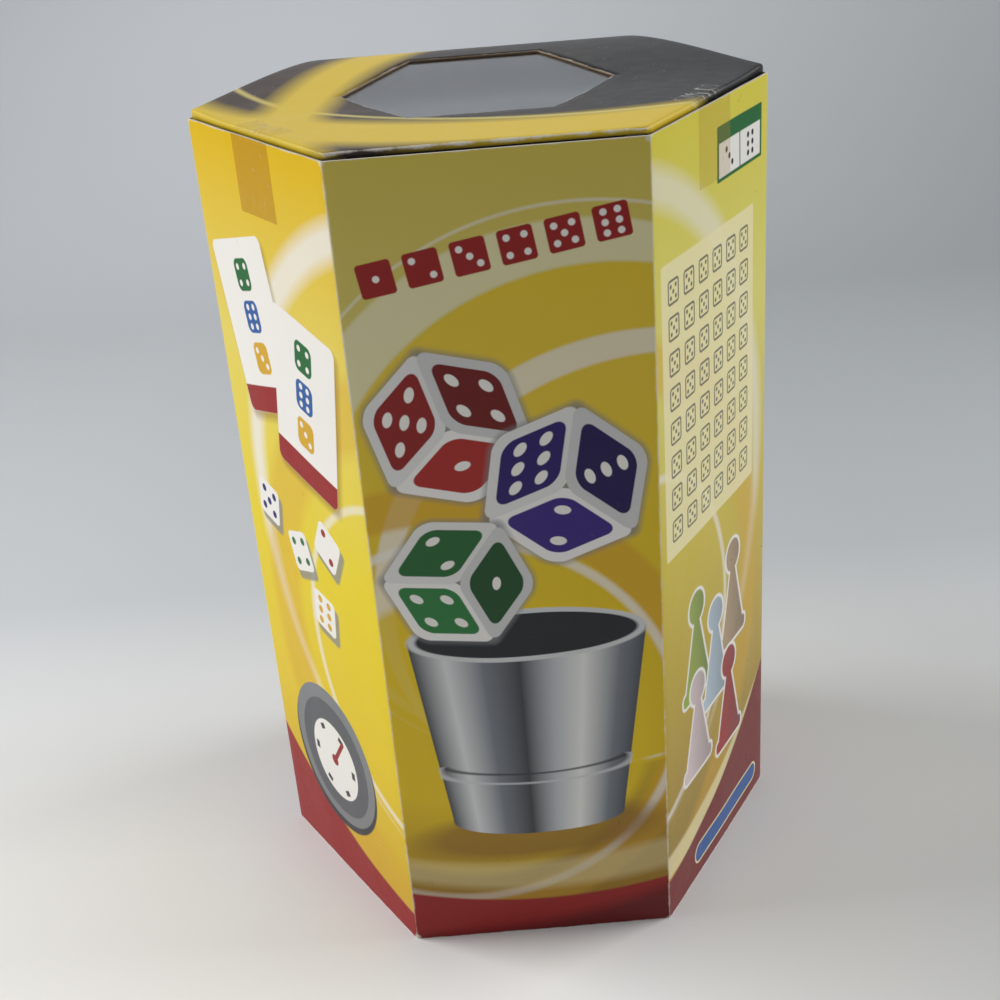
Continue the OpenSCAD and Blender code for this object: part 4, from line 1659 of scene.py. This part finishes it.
@dataclass
class Tapes:
    """Two strips of clear tape, slit along the lid's seam: the halves on the sides and those on the lid."""

    sleeve: Sleeve
    lid: Lid
    width: float = 25.4 * MM
    drop: float = 25.0 * MM
    lap: float = 8.0 * MM
    lap_wave: float = 0.1
    slit_gap: float = 0.3 * MM
    thick: float = 0.1 * MM
    seat: float = 0.03 * MM
    waves: Tuple[Tuple[float, float, float, float], ...] = (
        (1.0, 19.0, 7.0, 0.0), (1.0, -9.0, 31.0, 1.0), (0.6, 57.0, 23.0, 2.0),
    )
    side_crinkle: float = 0.12 * MM
    lid_crinkle: float = 0.35 * MM
    columns: int = 60
    rows: int = 50

    def __post_init__(self) -> None:
        """Lay out the strip's grid: shares across and down."""
        steps = np.linspace(0.0, 1.0, self.columns), np.linspace(0.0, 1.0, self.rows)
        self.across, self.down = np.meshgrid(*steps)

    def crinkle(self, size: float) -> Array:
        """Give a crinkled height: slanted sines over the sum of their rises, squared off at the crests."""
        waves = [rise * np.sin(x * self.across + y * self.down + start) for rise, x, y, start in self.waves]
        return size * np.clip(sum(waves) / sum(wave[0] for wave in self.waves), 0.0, 1.0) ** 2

    def strips(self, surface: Callable[..., Array], course: Array, reach: Array, crinkle: float) -> Shape:
        """Lay the two strips on a surface.

        Args:
            surface: gives points from a side, distances along it, places on a course, and lifts.
            course: the places on the surface's course, in the strip's grid.
            reach: the distances along the tape, in the strip's grid.
            crinkle: the height of its crinkles.

        Returns:
            The left strip, marked 0, and the right strip, marked 1.
        """
        shape = Shape()
        along = self.sleeve.outline.panel_w / 2.0 + (self.across - 0.5) * self.width
        lift = self.seat + self.crinkle(crinkle)
        places = np.stack([self.across * self.width, reach], axis=-1) / MM
        for mark, side in enumerate(TAPED_SIDES):
            outer = surface(side, along, course, lift + self.thick)
            inner = surface(side, along, course, lift)
            shape.slab(outer, inner, (mark, mark, mark), places)
        return shape

    def build_sides(self) -> Object:
        """Build the halves on the side panels and let them stand for their node."""
        reach = self.down * self.drop
        shape = self.strips(self.sleeve.patch, self.sleeve.outline.height - reach, reach, self.side_crinkle)
        finishes = (
            TapeFinish("left_side_tape", ink(206, 152, 26), 0.2),
            TapeFinish("right_side_tape", ink(206, 176, 84), 0.1, crease_from=0.66),
        )
        role = Role("carton", "clear_tape", "side_tapes")
        return stand_in(shape.mesh("side_tape_strips"), [finish.material() for finish in finishes], role)

    def build_lid(self) -> Object:
        """Build the halves on the lid, whose inner ends wave a little, and let them stand for their node."""
        path = self.slit_gap + self.down * self.lap * (1.0 + self.lap_wave * np.sin(9.0 * self.across))
        shape = self.strips(self.lid.edge_points, path, path, self.lid_crinkle)
        ribs = {"crease": ink(232, 228, 218), "crease_size": (1.5, 9.0), "crease_fade": 0.06}
        finishes = (
            TapeFinish("left_lid_tape", ink(206, 190, 120), 0.06, 0.56, 0.4, **ribs),
            TapeFinish("right_lid_tape", ink(150, 148, 142), 0.04, 0.53, 0.45, **ribs),
        )
        role = Role("lid", "clear_tape", "lid_tapes")
        return stand_in(shape.mesh("lid_tape_strips"), [finish.material() for finish in finishes], role)


@dataclass
class Dome:
    """The silver dome: a thin turned shell with three scoops, a dish with a button, and screw posts.

    Turns are degrees. Heights of the well and of the button count along the button's line from the dome's
    face.
    """

    shelf: FinishShelf
    wall: float = 2.4 * MM
    lip: float = 8.0 * MM
    top_r: float = 32.0 * MM
    bolt_hole_r: float = 2.7 * MM
    scoop_r: float = 24.0 * MM
    scoop_depth: float = 6.0 * MM
    scoop_turns: Tuple[float, ...] = (25.0, 145.0, 265.0)
    scoop_flank: float = 35.0
    dish_r: float = 40.0 * MM
    dish_depth: float = 6.0 * MM
    button_turn: float = -42.0
    button_tilt: float = 28.0
    button_rise: float = 30.0 * MM
    hole_r: float = 13.3 * MM
    well_r: float = 17.3 * MM
    well_inner_r: float = 15.3 * MM
    well_floor: Span = (-17.0 * MM, -15.5 * MM)
    well_mouth: Span = (-8.0 * MM, -4.6 * MM)
    cap_r: float = 13.0 * MM
    cap_shoulder: Span = (1.0 * MM, 1.6 * MM)
    cap_crown_r: float = 26.0 * MM
    flange_r: float = 15.0 * MM
    flange_span: Span = (-10.0 * MM, -8.3 * MM)
    post_r: float = 4.0 * MM
    post_ring_r: float = 64.1 * MM
    post_turns: Tuple[float, ...] = (10.0, 130.0, 250.0)
    post_foot: float = 2.4 * MM
    screw_hole: Span = (1.45 * MM, 9.0 * MM)
    soft: float = 1.6 * MM
    columns: int = 264
    lip_rows: int = 4
    flank_rows: int = 76
    top_rows: int = 8
    crown_rows: int = 14
    shoulder_rows: int = 8
    cap_steps: int = 96

    def __post_init__(self) -> None:
        """Read the dome's place and outer size from its solid."""
        low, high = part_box("dome_shell")
        self.foot_z = float(low.z)
        self.height = float(high.z - low.z)
        self.foot_r = float(high.y)

    def flank(self, u: Union[float, Array], inset: float = 0.0) -> Tuple[Array, Array]:
        """Give radius and height on the flank: a quarter ellipse from the lip, at 0, to the flat top."""
        radius = self.top_r + (self.foot_r - self.top_r) * np.cos(u) - inset
        return radius, self.lip + (self.height - self.lip - inset) * np.sin(u)

    @staticmethod
    def outwards(turn: float) -> Array:
        """Give the level direction that leaves the dome at a turn from the front."""
        return np.array([math.sin(math.radians(turn)), -math.cos(math.radians(turn)), 0.0])

    def dent(
        self, points: Array, centre: Array, inward: Array, radius: float, run: Optional[Array] = None
    ) -> Array:
        """Press a ball, or a ball drawn out along a run, into a skin.

        A point moves along the inward direction as far as the ball reaches past it. A smooth maximum of that
        reach and zero rounds the dent's edge.

        Args:
            points: the skin's points.
            centre: the ball's centre.
            inward: the unit direction of the press.
            radius: the ball's radius.
            run: the unit direction in which the ball is drawn out.

        Returns:
            The moved points.
        """
        away = points - centre
        if run is not None:
            away = away - np.clip(away @ run, 0.0, None)[..., None] * run
        depth = away @ inward
        room = radius**2 - (np.sum(away**2, axis=-1) - depth**2)
        reach = np.where(room > 0.0, np.sqrt(np.clip(room, 0.0, None)) - depth, -self.soft)
        share = np.clip(0.5 + 0.5 * reach / self.soft, 0.0, 1.0)
        push = reach * share + self.soft * share * (1.0 - share)
        return points + push[..., None] * inward

    def button_line(self) -> Tuple[Array, Array]:
        """Give the point where the button's line leaves the dome, and its outward direction."""
        rise = math.asin((self.button_rise - self.lip) / (self.height - self.lip))
        out, tilt = self.outwards(self.button_turn), math.radians(self.button_tilt)
        spot = out * self.flank(rise)[0] + UP * (self.foot_z + self.button_rise)
        return spot, math.cos(tilt) * out + math.sin(tilt) * UP

    def skin(self, inset: float) -> Array:
        """Trace one skin: lip, flank and flat top carried round, with the scoops and the dish pressed in.

        Args:
            inset: distance inside the outer face.

        Returns:
            Rows by columns of points; the columns go right round.
        """
        flank_r, flank_z = self.flank(np.linspace(0.0, QUARTER, self.flank_rows), inset)
        lip_z = np.linspace(0.0, self.lip, self.lip_rows)[:-1]
        top_r = np.linspace(self.top_r - inset, self.bolt_hole_r, self.top_rows)[1:]
        radius = np.concatenate([np.full(len(lip_z), self.foot_r - inset), flank_r, top_r])[:, None]
        z = np.concatenate([lip_z, flank_z, np.full(len(top_r), self.height - inset)])[:, None]
        turn = np.linspace(0.0, 2.0 * math.pi, self.columns, endpoint=False)[None]
        rows = np.broadcast_arrays(radius * np.cos(turn), radius * np.sin(turn), z + self.foot_z)
        points = np.stack(rows, axis=-1)
        slope = math.atan2(self.height - self.lip, self.foot_r - self.top_r)
        scoop_at, scoop_z = self.flank(math.radians(self.scoop_flank))
        for turn in self.scoop_turns:
            out = self.outwards(turn)
            inward = -math.sin(slope) * out - math.cos(slope) * UP
            upward = math.sin(slope) * UP - math.cos(slope) * out
            spot = out * scoop_at + UP * (self.foot_z + scoop_z)
            centre = spot + (self.scoop_depth - self.scoop_r) * inward
            points = self.dent(points, centre, inward, self.scoop_r + inset, upward)
        spot, line = self.button_line()
        return self.dent(points, spot + (self.dish_r - self.dish_depth) * line, -line, self.dish_r + inset)

    def add_shell(self, shape: Shape) -> None:
        """Add both skins, joined at their rims, with the button's hole; the hole's rim is drawn to a circle.

        Args:
            shape: the shape that takes them.
        """
        outer, inner = (self.skin(inset).reshape(-1, 3) for inset in (0.0, self.wall))
        count = len(outer)
        index = np.arange(count).reshape(-1, self.columns)
        beside = np.roll(index, -1, axis=1)
        quads = np.stack([index[:-1], beside[:-1], beside[1:], index[1:]], axis=-1).reshape(-1, 4)
        spot, line = self.button_line()
        away = outer - spot
        along = away @ line
        aside = np.linalg.norm(away - along[:, None] * line, axis=1)
        in_hole = (aside < self.hole_r) & (along > -2.0 * self.hole_r)
        gone = np.all(in_hole[quads], axis=1)
        kept = quads[~gone]
        rim = np.intersect1d(kept, quads[gone])
        for points in (outer, inner):
            axis_at = spot + ((points[rim] - spot) @ line)[:, None] * line
            radial = points[rim] - axis_at
            points[rim] = axis_at + radial * (self.hole_r / np.linalg.norm(radial, axis=1, keepdims=True))
        pairs = np.concatenate([kept[:, [k, (k + 1) % 4]] for k in range(4)])
        _, first, uses = np.unique(np.sort(pairs, axis=1), axis=0, return_index=True, return_counts=True)
        start, end = pairs[first[uses == 1]].T
        joins = np.stack([end, start, start + count, end + count], axis=1)
        shape.add(np.concatenate([outer, inner]), np.concatenate([kept, kept[:, ::-1] + count, joins]))

    def add_posts(self, shape: Shape) -> None:
        """Add the screw posts, which end where their outer sides reach the wall, and the button's well.

        Args:
            shape: the shape that takes them.
        """
        hole_r, hole_l = self.screw_hole
        reach = self.post_ring_r + self.post_r + self.wall / 2.0
        rise = math.acos((reach - self.top_r) / (self.foot_r - self.top_r))
        top = float(self.flank(rise, self.wall / 2.0)[1]) - self.post_foot
        post = (
            (0.0, hole_l), (hole_r, hole_l), (hole_r, 0.0),
            (self.post_r, 0.0), (self.post_r, top), (0.0, top),
        )
        for turn in np.radians(self.post_turns):
            centre = np.array([math.cos(turn), math.sin(turn), 0.0]) * self.post_ring_r
            shape.lathe(post, centre + UP * (self.foot_z + self.post_foot), UP)
        (low, floor), (mouth, rim) = self.well_floor, self.well_mouth
        well = (
            (0.0, low), (self.well_r, low), (self.well_r, rim), (self.hole_r, rim),
            (self.hole_r, mouth), (self.well_inner_r, mouth), (self.well_inner_r, floor), (0.0, floor),
        )
        shape.lathe(well, *self.button_line())

    def build(self) -> Object:
        """Build the dome and let it stand for its node."""
        shape = Shape()
        self.add_shell(shape)
        self.add_posts(shape)
        role = Role("dome", "dome_silver", "dome_shell")
        return stand_in(shape.mesh("silver_dome"), [self.shelf.take(role.slot)], role)

    def build_button(self) -> Object:
        """Build the button and let it stand for its node.

        The profile is a flange, a straight side, a quarter ellipse for the shoulder and a ball's crown.
        """
        run, rise = self.cap_shoulder
        crown_r = np.linspace(self.cap_r - run, 0.0, self.crown_rows)
        crown_h = np.sqrt(self.cap_crown_r**2 - crown_r**2) - self.cap_crown_r
        bend = np.linspace(0.0, QUARTER, self.shoulder_rows)[:-1]
        low, high = self.flange_span
        profile = [
            (0.0, low), (self.flange_r, low), (self.flange_r, high), (self.cap_r, high),
            *zip(self.cap_r - run * (1.0 - np.cos(bend)), crown_h[0] - rise * (1.0 - np.sin(bend))),
            *zip(crown_r, crown_h),
        ]
        shape = Shape()
        shape.lathe(profile, *self.button_line(), steps=self.cap_steps)
        role = Role("button", "black_plastic", "button_cap")
        return stand_in(shape.mesh("button_cap_turned"), [self.shelf.take(role.slot)], role)


@dataclass
class DieHead:
    """The unit's head: a hollow die with well rounded edges, stood on a corner and split at mid height."""

    shelf: FinishShelf
    edge_r: float = 14.0 * MM
    wall: float = 2.5 * MM
    seam: float = 0.15 * MM
    arc_points: int = 9
    flat_points: int = 8

    def __post_init__(self) -> None:
        """Read the head's place and size from its solids; the tip is a corner of the rounded die.

        The rows of the turn that stands the die on a corner are the world's axes as the die sees them, so
        the last one is a diagonal of the die.
        """
        low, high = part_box("head_upper_shell")
        self.middle_z = float(low.z)
        self.foot_z = float(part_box("head_lower_shell")[0].z)
        self.half = (float(high.z - low.z) - self.edge_r) / math.sqrt(3.0) + self.edge_r
        axes = np.array([[2.0, 1.0, 1.0], [0.0, 1.0, -1.0], [-1.0, 1.0, 1.0]])
        self.turn = axes / np.linalg.norm(axes, axis=1, keepdims=True)

    def rounded(self, inset: float) -> List[Array]:
        """Trace the die's six faces, set inwards.

        A point of the cube is drawn in to the cube without its rounding, then pushed out from there by the
        edge's radius. Along a face the steps are even on the flat and even in angle on the rounding.

        Args:
            inset: distance inside the outer face.

        Returns:
            One grid of points for each face.
        """
        radius = self.edge_r - inset
        flat = self.half - self.edge_r
        bend = flat + radius * np.tan(np.linspace(0.0, QUARTER / 2.0, self.arc_points)[1:])
        line = np.concatenate([-bend[::-1], np.linspace(-flat, flat, self.flat_points), bend])
        first, second = np.meshgrid(line, line)
        grids: List[Array] = []
        for axis in range(3):
            for level in (-flat - radius, flat + radius):
                face = np.stack([first, second, np.full(first.shape, level)], axis=-1)
                cube = np.roll(face, axis, axis=-1)
                core = np.clip(cube, -flat, flat)
                out = (cube - core) / np.linalg.norm(cube - core, axis=-1, keepdims=True)
                grids.append((core + radius * out) @ self.turn.T + self.middle_z * UP)
        return grids

    def skin(self, inset: float, cuts: Sequence[Tuple[float, bool, bool]]) -> Mesh:
        """Make one closed skin and cut it level.

        Args:
            inset: distance inside the outer face.
            cuts: heights, each with whether what lies above stays and whether the cut is closed.

        Returns:
            The skin that is left.
        """
        shape = Shape()
        for grid in self.rounded(inset):
            shape.grid(grid)
        mesh = shape.mesh("head_skin")
        work = bmesh.new()
        work.from_mesh(mesh)
        for z, above, closed in cuts:
            geometry = [*work.verts, *work.edges, *work.faces]
            bmesh.ops.bisect_plane(
                work, geom=geometry, plane_co=(0.0, 0.0, z), plane_no=UP,
                clear_inner=above, clear_outer=not above,
            )
            if closed:
                rim = [edge for edge in work.edges if edge.is_boundary and abs(edge.verts[0].co.z - z) < WELD]
                bmesh.ops.holes_fill(work, edges=rim)
        work.to_mesh(mesh)
        work.free()
        return mesh

    def build_shell(self, name: str, node: str, upper: bool) -> Object:
        """Build one half: an outer and an inner skin joined round the seam.

        Args:
            name: the piece's name.
            node: the solid that it stands for.
            upper: whether it is the upper half.

        Returns:
            The piece.
        """
        split = self.middle_z + (self.seam if upper else -self.seam)
        work = bmesh.new()
        for inset in (0.0, self.wall):
            foot = [] if upper else [(self.foot_z + inset, True, True)]
            skin = self.skin(inset, [(split, upper, False), *foot])
            work.from_mesh(skin)
            bpy.data.meshes.remove(skin)
        rim = [edge for edge in work.edges if edge.is_boundary]
        bmesh.ops.triangle_fill(work, edges=rim, normal=UP, use_beauty=True)
        bmesh.ops.recalc_face_normals(work, faces=work.faces)
        shade_smooth(work)
        mesh = bpy.data.meshes.new(name)
        work.to_mesh(mesh)
        work.free()
        role = Role("dome", "head_white", node)
        return stand_in(mesh, [self.shelf.take(role.slot)], role)

    def build(self) -> None:
        """Build both halves."""
        self.build_shell("head_upper_half", "head_upper_shell", True)
        self.build_shell("head_lower_half", "head_lower_shell", False)


@dataclass
class GameUnit:
    """Everything that keeps its solid: tabs, base, and the game unit with its contents."""

    shelf: FinishShelf
    tabs: Tuple[str, ...] = ("lid_front_tab", "lid_left_tab", "lid_right_tab", "lid_rear_tabs")
    leaflet: str = "rule_leaflet"

    def finish(self, name: str, slot: str) -> Optional[Material]:
        """Give a solid's material: its own where its sides differ, or else that of its slot.

        Args:
            name: the solid's name.
            slot: its material slot.

        Returns:
            The material, or nothing for a slot that only modelled pieces take.
        """
        if name in self.tabs:
            return TabFinish.for_node(name + "_board", frame["nodes"][name]).material()
        if name == self.leaflet:
            low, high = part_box(name)
            size = (high.x - low.x, high.z - low.z)
            return LeafletFinish("leaflet_print", (low.x, high.z), size).material()
        return self.shelf.take(slot) if slot in self.shelf.finishes else None

    def dress(self) -> None:
        """Give every solid that is still shown its finish."""
        for part in frame["record"]["subparts"]:
            name, node = part["node"], frame["nodes"][part["node"]]
            material = self.finish(name, part["material_slot"])
            if material is None:
                continue
            for holder in node.material_slots:
                holder.material = material
            if not node.material_slots:
                node.data.materials.append(material)
            log.info("%s: finish %s", name, material.name)


@dataclass(frozen=True)
class Lamp:
    """A soft square lamp that faces a point; its power is in watts and its beam's spread in degrees."""

    name: str
    at: Point
    aim: Point
    size: float
    power: float
    spread: float

    def build(self) -> None:
        """Build the lamp."""
        light = bpy.data.lights.new(self.name, "AREA")
        light.size = self.size
        light.energy = self.power
        light.spread = math.radians(self.spread)
        away = unit(np.array(self.at) - np.array(self.aim))
        right = unit(np.cross(UP, away))
        turn = np.stack([right, np.cross(away, right), away], axis=1)
        show(self.name, light).matrix_world = Matrix.LocRotScale(self.at, Matrix(turn.tolist()), None)


@dataclass(frozen=True)
class PaintedLightPaper:
    """The backdrop's tone on its left and on its right, with painted light and shade in it, and where it
    takes over from front to back.
    """

    left: Colour
    right: Colour
    takes_over: Span


@dataclass
class Studio:
    """The floor, the lights and the camera of the photograph."""

    azimuth: float = -0.381
    elevation: float = 26.187
    roll: float = -4.493
    camera_at: Point = (-0.00659, -0.49866, 0.38550)
    lens: float = 52.373
    sensor: float = 36.0
    lamps: Tuple[Lamp, ...] = (
        Lamp("key", (-1.2, 0.2, 0.9), (-0.1, -0.1, 0.1), 0.7, 7.6, 120.0),
        Lamp("fill", (1.15, 0.2, 0.85), (0.1, -0.05, 0.15), 0.7, 3.6, 90.0),
        Lamp("backdrop_light", (0.0, 0.2, 1.5), (0.0, 1.15, 0.8), 0.6, 2.6, 90.0),
    )
    sky: Colour = (0.95, 0.97, 1.0, 1.0)
    sky_strength: float = 0.3
    # The paper tones are painted light and shade: brightest at the front left, darker further back, paler
    # again far behind, and greyer to the right.
    papers: Tuple[PaintedLightPaper, ...] = (
        PaintedLightPaper(ink(232, 231, 229), ink(201, 201, 200), (-0.12, 0.06)),
        PaintedLightPaper(ink(188, 191, 194), ink(172, 176, 179), (-0.02, 0.2)),
        PaintedLightPaper(ink(210, 213, 217), ink(204, 208, 211), (0.65, 1.05)),
    )
    front_paper_painted_light: Tuple[Colour, Colour] = (ink(254, 252, 249), ink(194, 194, 193))
    painted_shade_left_to_right: Span = (-0.25, 0.2)
    sweep_reach: float = 6.0
    sweep_back: float = 0.7
    sweep_r: float = 0.45
    sweep_top: float = 2.6
    sweep_steps: int = 24

    def build(self) -> None:
        """Build the sweep, the lights and the camera."""
        self.build_sweep()
        for lamp in self.lamps:
            lamp.build()
        world = bpy.data.worlds.new("studio")
        world.use_nodes = True
        shade = world.node_tree.nodes["Background"]
        shade.inputs["Color"].default_value = self.sky
        shade.inputs["Strength"].default_value = self.sky_strength
        bpy.context.scene.world = world
        bpy.context.scene.view_settings.view_transform = "Standard"
        self.build_camera()

    def sweep_finish(self) -> Material:
        """Make the sweep's paper, its tones painted light and shade: pale in front, cooler and then paler
        behind, and greyer to the right.
        """
        desk = Desk("backdrop")
        spot = desk.object_place()
        x, y, _ = spot.parts()
        # Painted shade: the paper greys from left to right, and each band of tone below brings its own
        # painted light and shade.
        right = desk.map_range(x, *self.painted_shade_left_to_right)
        tone = desk.mix(right, *self.front_paper_painted_light)
        for paper in self.papers:
            share = desk.map_range(y, *paper.takes_over)
            tone = desk.mix(share, tone, desk.mix(right, paper.left, paper.right))
        return desk.surface({
            "Base Color": tone,
            "Roughness": 0.9,
            "Normal": desk.bump(desk.noise(spot, 900.0), 0.2, 0.2 * MM),
        })

    def build_sweep(self) -> None:
        """Build a pale floor that curves up into a backdrop: a line front to back, drawn out sideways."""
        turn = np.linspace(0.0, QUARTER, self.sweep_steps)
        back, radius = self.sweep_back, self.sweep_r
        line_y = np.concatenate([[-self.sweep_reach], back + radius * np.sin(turn), [back + radius]])
        line_z = np.concatenate([[0.0], radius * (1.0 - np.cos(turn)), [self.sweep_top]])
        x = np.array([-self.sweep_reach, self.sweep_reach])
        points = np.stack(np.broadcast_arrays(x[None, :], line_y[:, None], line_z[:, None]), axis=-1)
        shape = Shape()
        shape.grid(points)
        mesh = shape.mesh("sweep", closed=False)
        mesh.materials.append(self.sweep_finish())
        show("sweep", mesh)

    def build_camera(self) -> None:
        """Place the camera as it was fitted to the photograph's corners."""
        azimuth, elevation, roll = np.radians([self.azimuth, self.elevation, self.roll])
        level = np.array([math.sin(azimuth), -math.cos(azimuth), 0.0])
        back = math.cos(elevation) * level + math.sin(elevation) * UP
        right = unit(np.cross(-back, UP))
        up = np.cross(right, -back)
        x_axis = math.cos(roll) * right + math.sin(roll) * up
        y_axis = -math.sin(roll) * right + math.cos(roll) * up
        camera = bpy.data.cameras.new("camera")
        camera.lens = self.lens
        camera.sensor_width = self.sensor
        camera.clip_start = 0.01
        made = show("camera", camera)
        turn = np.stack([x_axis, y_axis, back], axis=1)
        made.matrix_world = Matrix.LocRotScale(self.camera_at, Matrix(turn.tolist()), None)
        bpy.context.scene.camera = made


def main() -> None:
    """Build the dressed game in order: carton, lid, film, tape, unit and studio."""
    logging.basicConfig(level=logging.INFO, format="%(message)s")
    shelf = FinishShelf()
    outline = Outline.from_frame()
    low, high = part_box("bottom_panel")
    board_t = float(high.z - low.z)
    sleeve = Sleeve(shelf, outline, board_t)
    lid = Lid(outline, board_t)
    tapes = Tapes(sleeve, lid)
    dome = Dome(shelf)
    sleeve.build()
    lid.build()
    lid.build_film()
    tapes.build_sides()
    tapes.build_lid()
    dome.build()
    dome.build_button()
    DieHead(shelf).build()
    GameUnit(shelf).dress()
    Studio().build()


if __name__ == "__main__":
    main()
